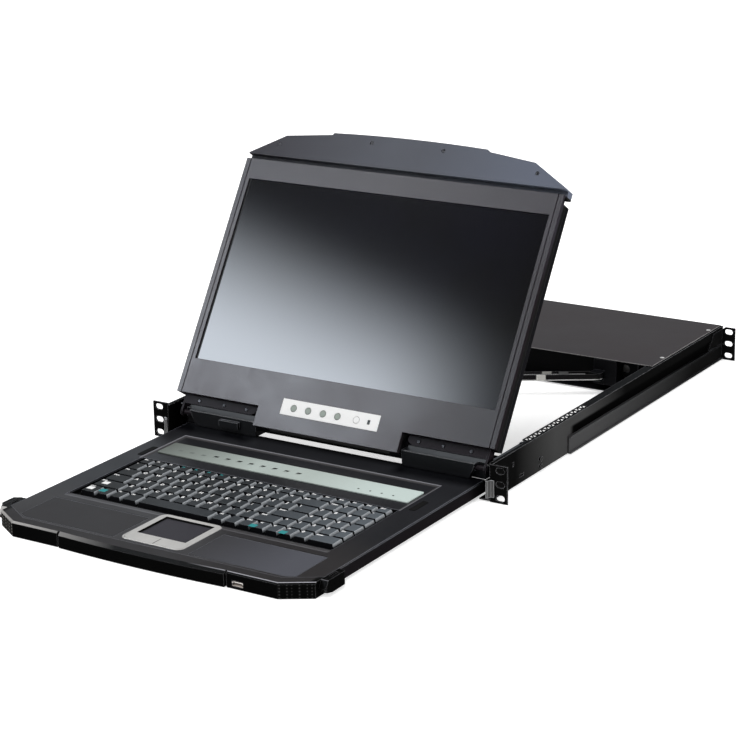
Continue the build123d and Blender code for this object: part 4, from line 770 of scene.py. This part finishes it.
across, deep = marks["size"][0] / 2, marks["size"][1] / 2
window = [(-across, -deep), (across * 0.7, -deep), (across, deep), (-across * 0.7, deep)]
underline = [(-across, -deep - 2.2), (across * 0.6, -deep - 2.2), (across * 0.6, -deep - 1.5),
             (-across, -deep - 1.5)]
roundDot = [(marks["dot"] * math.cos(k * math.pi / 6), marks["dot"] * math.sin(k * math.pi / 6))
            for k in range(12)]
windowSpots = [(marks["first"] + k * marks["pitch"], marks["windowY"]) for k in range(8)]
faintSpots = [(marks["first"] - k * marks["pitch"], marks["faintY"]) for k in range(1, 5)]
setMarks("stripWindows", windowSpots, window, "blackPlastic")
setMarks("stripLines", windowSpots, underline, "faintInk")
setMarks("stripFaint", faintSpots, window, "faintInk")
setMarks("stripDots", [(x, marks["dotY"]) for x in marks["dots"]], roundDot, "blackPlastic")
patch = dict(teal=(8.5, 8.0), pale=(8.5, 7.5), tealSpots=[(60.5, -223), (99, -223.6), (-144.5, -217)],
             paleSpots=[(-162, -217), (-157, -196.5)])
for inkName, patchSize, patchSpots in (("tealInk", patch["teal"], patch["tealSpots"]),
                                       ("whiteInk", patch["pale"], patch["paleSpots"])):
    half = [side / 2 for side in patchSize]
    corners = [(-half[0], -half[1]), (half[0], -half[1]), (half[0], half[1]), (-half[0], half[1])]
    setMarks("keyPatch_" + inkName, patchSpots, corners, inkName, keyLook["top"])
seam = dict(left=-0.9, right=-0.15, front=-316.5, rear=-301.5, top=-4.2)
seamEnds = [(seam[x], seam[y])
            for x, y in (("left", "front"), ("right", "front"), ("right", "rear"), ("left", "rear"))]
setMarks("padSeam", [(0, 0)], seamEnds, "blackPlastic", seam["top"], "left_pad_button")
groove = dict(near=50.0, far=177.0, front=-258.2, rear=-257.2, top=-4.5)
grooveEnds = [(groove[x], groove[y])
              for x, y in (("near", "front"), ("far", "front"), ("far", "rear"), ("near", "rear"))]
setMarks("padGrooveRight", [(0, 0)], grooveEnds, "blackPlastic", groove["top"])
setMarks("padGrooveLeft", [(0, 0)], [(-x, y) for x, y in reversed(grooveEnds)], "blackPlastic", groove["top"])
padRim = dict(left=-34.3, right=28.3, front=-298.3, rear=-247.2, band=2.4, top=-5.6)
for markName, inset, look, rise in (("padShade", 0.0, "blackPlastic", 0.0),
                                    ("padFace", padRim["band"], "padPlastic", 0.03)):
    west, east, south, north = (padRim["left"] + inset, padRim["right"] - inset,
                                padRim["front"] + inset, padRim["rear"] - inset)
    setMarks(markName, [(0, 0)], [(west, south), (east, south), (east, north), (west, north)], look,
             padRim["top"] + rise)
# A black sheet closing the gap under each hinge housing's outer end, a painted shade standing in for the
# shade there
gapShade = dict(inner=186.5, outer=204.6, low=-4.4, high=-3.2, y=18.4)
gapShadeMesh = bmesh.new()
for side in (-1, 1):
    gapShadeMesh.faces.new([gapShadeMesh.verts.new((side * gapShade[x] * mm, gapShade["y"] * mm, gapShade[z] * mm))
                         for x, z in (
        ("inner", "low"), ("outer", "low"), ("outer", "high"), ("inner", "high"))[::side]])
gapShades = bpy.data.meshes.new("housingSkirts")
gapShadeMesh.to_mesh(gapShades)
gapShadeMesh.free()
addPiece("housingSkirts", gapShades, "blackPlastic", "screen_carriage")
# A dark strip on the display along its left edge
leftStrip = dict(left=-204.6, right=-202.2, low=0.3, high=230.0, lift=0.04)
rim = bmesh.new()
rim.faces.new([rim.verts.new(onScreen(leftStrip[x], leftStrip[v], leftStrip["lift"])) for x, v in (
    ("left", "low"), ("right", "low"), ("right", "high"), ("left", "high"))])
rimMesh = bpy.data.meshes.new("displayBorder")
rim.to_mesh(rimMesh)
rim.free()
addPiece("displayBorder", rimMesh, "blackPlastic", "screen")
print("status marks set")


# Screws with cross recesses

def screwMesh(name, radius, height, recess):
    bm = bmesh.new()
    sides, arm, width = 24, radius * 0.62, radius * 0.17
    rings = []
    for r, z in ((radius, 0), (radius, height * 0.45), (radius * 0.82, height * 0.85),
                 (radius * 0.66, height)):
        rings.append([
            bm.verts.new((r * math.cos(2 * math.pi * k / sides) * mm,
                          r * math.sin(2 * math.pi * k / sides) * mm,
                          z * mm)) for k in range(sides)
        ])
    for low, high in zip(rings, rings[1:]):
        for k in range(sides):
            bm.faces.new((low[k], low[(k + 1) % sides], high[(k + 1) % sides], high[k]))
    bm.faces.new(rings[0][::-1])
    cross = [(width, width), (width, arm), (-width, arm), (-width, width), (-arm, width), (-arm, -width),
             (-width, -width), (-width, -arm), (width, -arm), (width, -width), (arm, -width), (arm, width)]
    lip = [bm.verts.new((x * mm, y * mm, height * mm)) for x, y in cross]
    floor = [bm.verts.new((x * 0.6 * mm, y * 0.6 * mm, (height - recess) * mm)) for x, y in cross]
    for k in range(12):
        bm.faces.new((floor[k], floor[(k + 1) % 12], lip[(k + 1) % 12], lip[k]))
    bm.faces.new(floor)
    outer = [bm.edges.get((rings[-1][k], rings[-1][(k + 1) % sides])) for k in range(sides)]
    inner = [bm.edges.get((lip[k], lip[(k + 1) % 12])) for k in range(12)]
    bmesh.ops.triangle_fill(bm, use_beauty=True, use_dissolve=False, edges=outer + inner)
    for face in [f for f in bm.faces if all(v in lip for v in f.verts)]:
        bm.faces.remove(face)
    return meshFrom(name, bm)


def setScrews(name, spots, radius, height, recess, turn, look, body, replaced):
    shapes = hiddenCollection(name + "Shapes", [screwMesh(name + "Shape", radius, height, recess)])
    mesh = scatter(name, spots, [0] * len(spots), shapes, looks[look], [turn] * len(spots))
    addPiece(name, mesh, look, body, replaced)


screenEuler = tuple(screenTurn.to_euler())
handleSpots = [onScreen(x, v, 0.55) for x, v in ((-176.5, 277.1), (-49, 291.5), (49, 291.5), (176.5, 277.1))]
hingeSpots = [onScreen(s * x, -49, -6.2) for s in (-1, 1) for x in (118, 150, 186)]
coverSpots = [Vector((x * mm, y * mm, 0.0216)) for x in (-213.5, 213.5) for y in (448, 587)]
setScrews("screenScrews", handleSpots + hingeSpots, 2.25, 0.85, 0.5, screenEuler, "screwSteel", "screen",
          ["screen_screws"])
setScrews("coverScrews", coverSpots, 2.8, 0.7, 0.4, (0, 0, 0), "brightSteel", "rack_frame",
          ["cover_screws"])
print("screws set")


# Floor, light and world

stage = dict(half=14.0, drop=0.0006, floor=(0.90, 0.90, 0.90), glow=0.55, fill=0.30, mirrored=0.05)


def makeStage():
    low = cadBox[0]
    bm = bmesh.new()
    bmesh.ops.create_grid(bm, x_segments=1, y_segments=1, size=stage["half"])
    mesh = meshFrom("floor", bm)
    floor = bpy.data.objects.new("floor", mesh)
    floor.location = (0, 0, low.z - stage["drop"])
    floor.visible_glossy = False
    scene.collection.objects.link(floor)
    material, tree, shader = startMaterial("floorPaint")
    speck = noise(tree, objectSpace(tree), 3.0)
    bright = tuple(c * 1.02 for c in stage["floor"])
    tree.links.new(blendColours(tree, speck, stage["floor"], bright), shader.inputs["Base Color"])
    shader.inputs["Roughness"].default_value = 0.9
    shader.inputs["Specular IOR Level"].default_value = 0.0
    shader.inputs["Emission Color"].default_value = (1, 1, 1, 1)
    shader.inputs["Emission Strength"].default_value = stage["glow"]
    mesh.materials.append(material)
    world = bpy.data.worlds.new("studio")
    world.use_nodes = True
    tree = world.node_tree
    rays = tree.nodes.new("ShaderNodeLightPath")
    light = remap(tree, rays.outputs["Is Glossy Ray"], stage["fill"], stage["mirrored"], 0.0, 1.0)
    strength = tree.nodes.new("ShaderNodeMath")
    strength.operation = "MAXIMUM"
    tree.links.new(light, strength.inputs[0])
    tree.links.new(rays.outputs["Is Camera Ray"], strength.inputs[1])
    tree.nodes["Background"].inputs["Color"].default_value = (1, 1, 1, 1)
    tree.links.new(strength.outputs["Value"], tree.nodes["Background"].inputs["Strength"])
    scene.world = world


def areaLight(name, place, target, size, power, colour=(1, 1, 1), roll=0.0):
    data = bpy.data.lights.new(name, "AREA")
    data.shape = "RECTANGLE"
    data.size, data.size_y = size
    data.energy = power
    data.color = colour
    lamp = bpy.data.objects.new(name, data)
    lamp.location = place
    aim = (Vector(target) - Vector(place)).to_track_quat("-Z", "Y").to_matrix()
    lamp.rotation_euler = (aim @ Matrix.Rotation(math.radians(roll), 3, "Z")).to_euler()
    scene.collection.objects.link(lamp)
    return lamp


def softenEdges(lamp, across, upward):
    lamp.data.use_nodes = True
    tree = lamp.data.node_tree
    place = tree.nodes.new("ShaderNodeNewGeometry")
    split = tree.nodes.new("ShaderNodeSeparateXYZ")
    tree.links.new(place.outputs["Parametric"], split.inputs["Vector"])
    both = tree.nodes.new("ShaderNodeMath")
    both.operation = "MULTIPLY"
    for index, (axis, ends) in enumerate((("X", across), ("Y", upward))):
        node = tree.nodes.new("ShaderNodeMapRange")
        node.interpolation_type = "SMOOTHSTEP"
        node.inputs["From Min"].default_value, node.inputs["From Max"].default_value = ends
        tree.links.new(split.outputs[axis], node.inputs["Value"])
        tree.links.new(node.outputs["Result"], both.inputs[index])
    tree.links.new(both.outputs["Value"], tree.nodes["Emission"].inputs["Strength"])


makeStage()
sunLook = dict(energy=2.3, spread=50.0, heading=(0.25, 0.35, -1.0))
sunData = bpy.data.lights.new("overhead", "SUN")
sunData.energy = sunLook["energy"]
sunData.angle = math.radians(sunLook["spread"])
overhead = bpy.data.objects.new("overhead", sunData)
overhead.rotation_euler = Vector(sunLook["heading"]).to_track_quat("-Z", "Y").to_euler()
scene.collection.objects.link(overhead)
overhead.visible_glossy = False
card = areaLight("screenCard", (-1.253, -1.312, 1.642), (0, 0.094, 0.154), (1.4, 1.2), 44,
                 (0.84, 0.91, 1.0), 12)
card.visible_diffuse = False
softenEdges(card, (0.80, 0.55), (0.59, 0.29))
edgeCard = areaLight("edgeCard", (-1.44, -0.83, 2.25), (0, 0, 0), (0.7, 0.45), 8)
edgeCard.visible_diffuse = False
rearCard = areaLight("rearCard", (-1.7, 2.7, 1.0), (0, 0, 0), (2.4, 1.2), 6, (0.85, 0.92, 1.0))
rearCard.visible_diffuse = False
areaLight("rightRim", (2.6, 0.7, 0.7), (0, 0.2, 0), (1.2, 1.2), 45).visible_glossy = False
scene.view_settings.view_transform = "Standard"
print("stage lit")
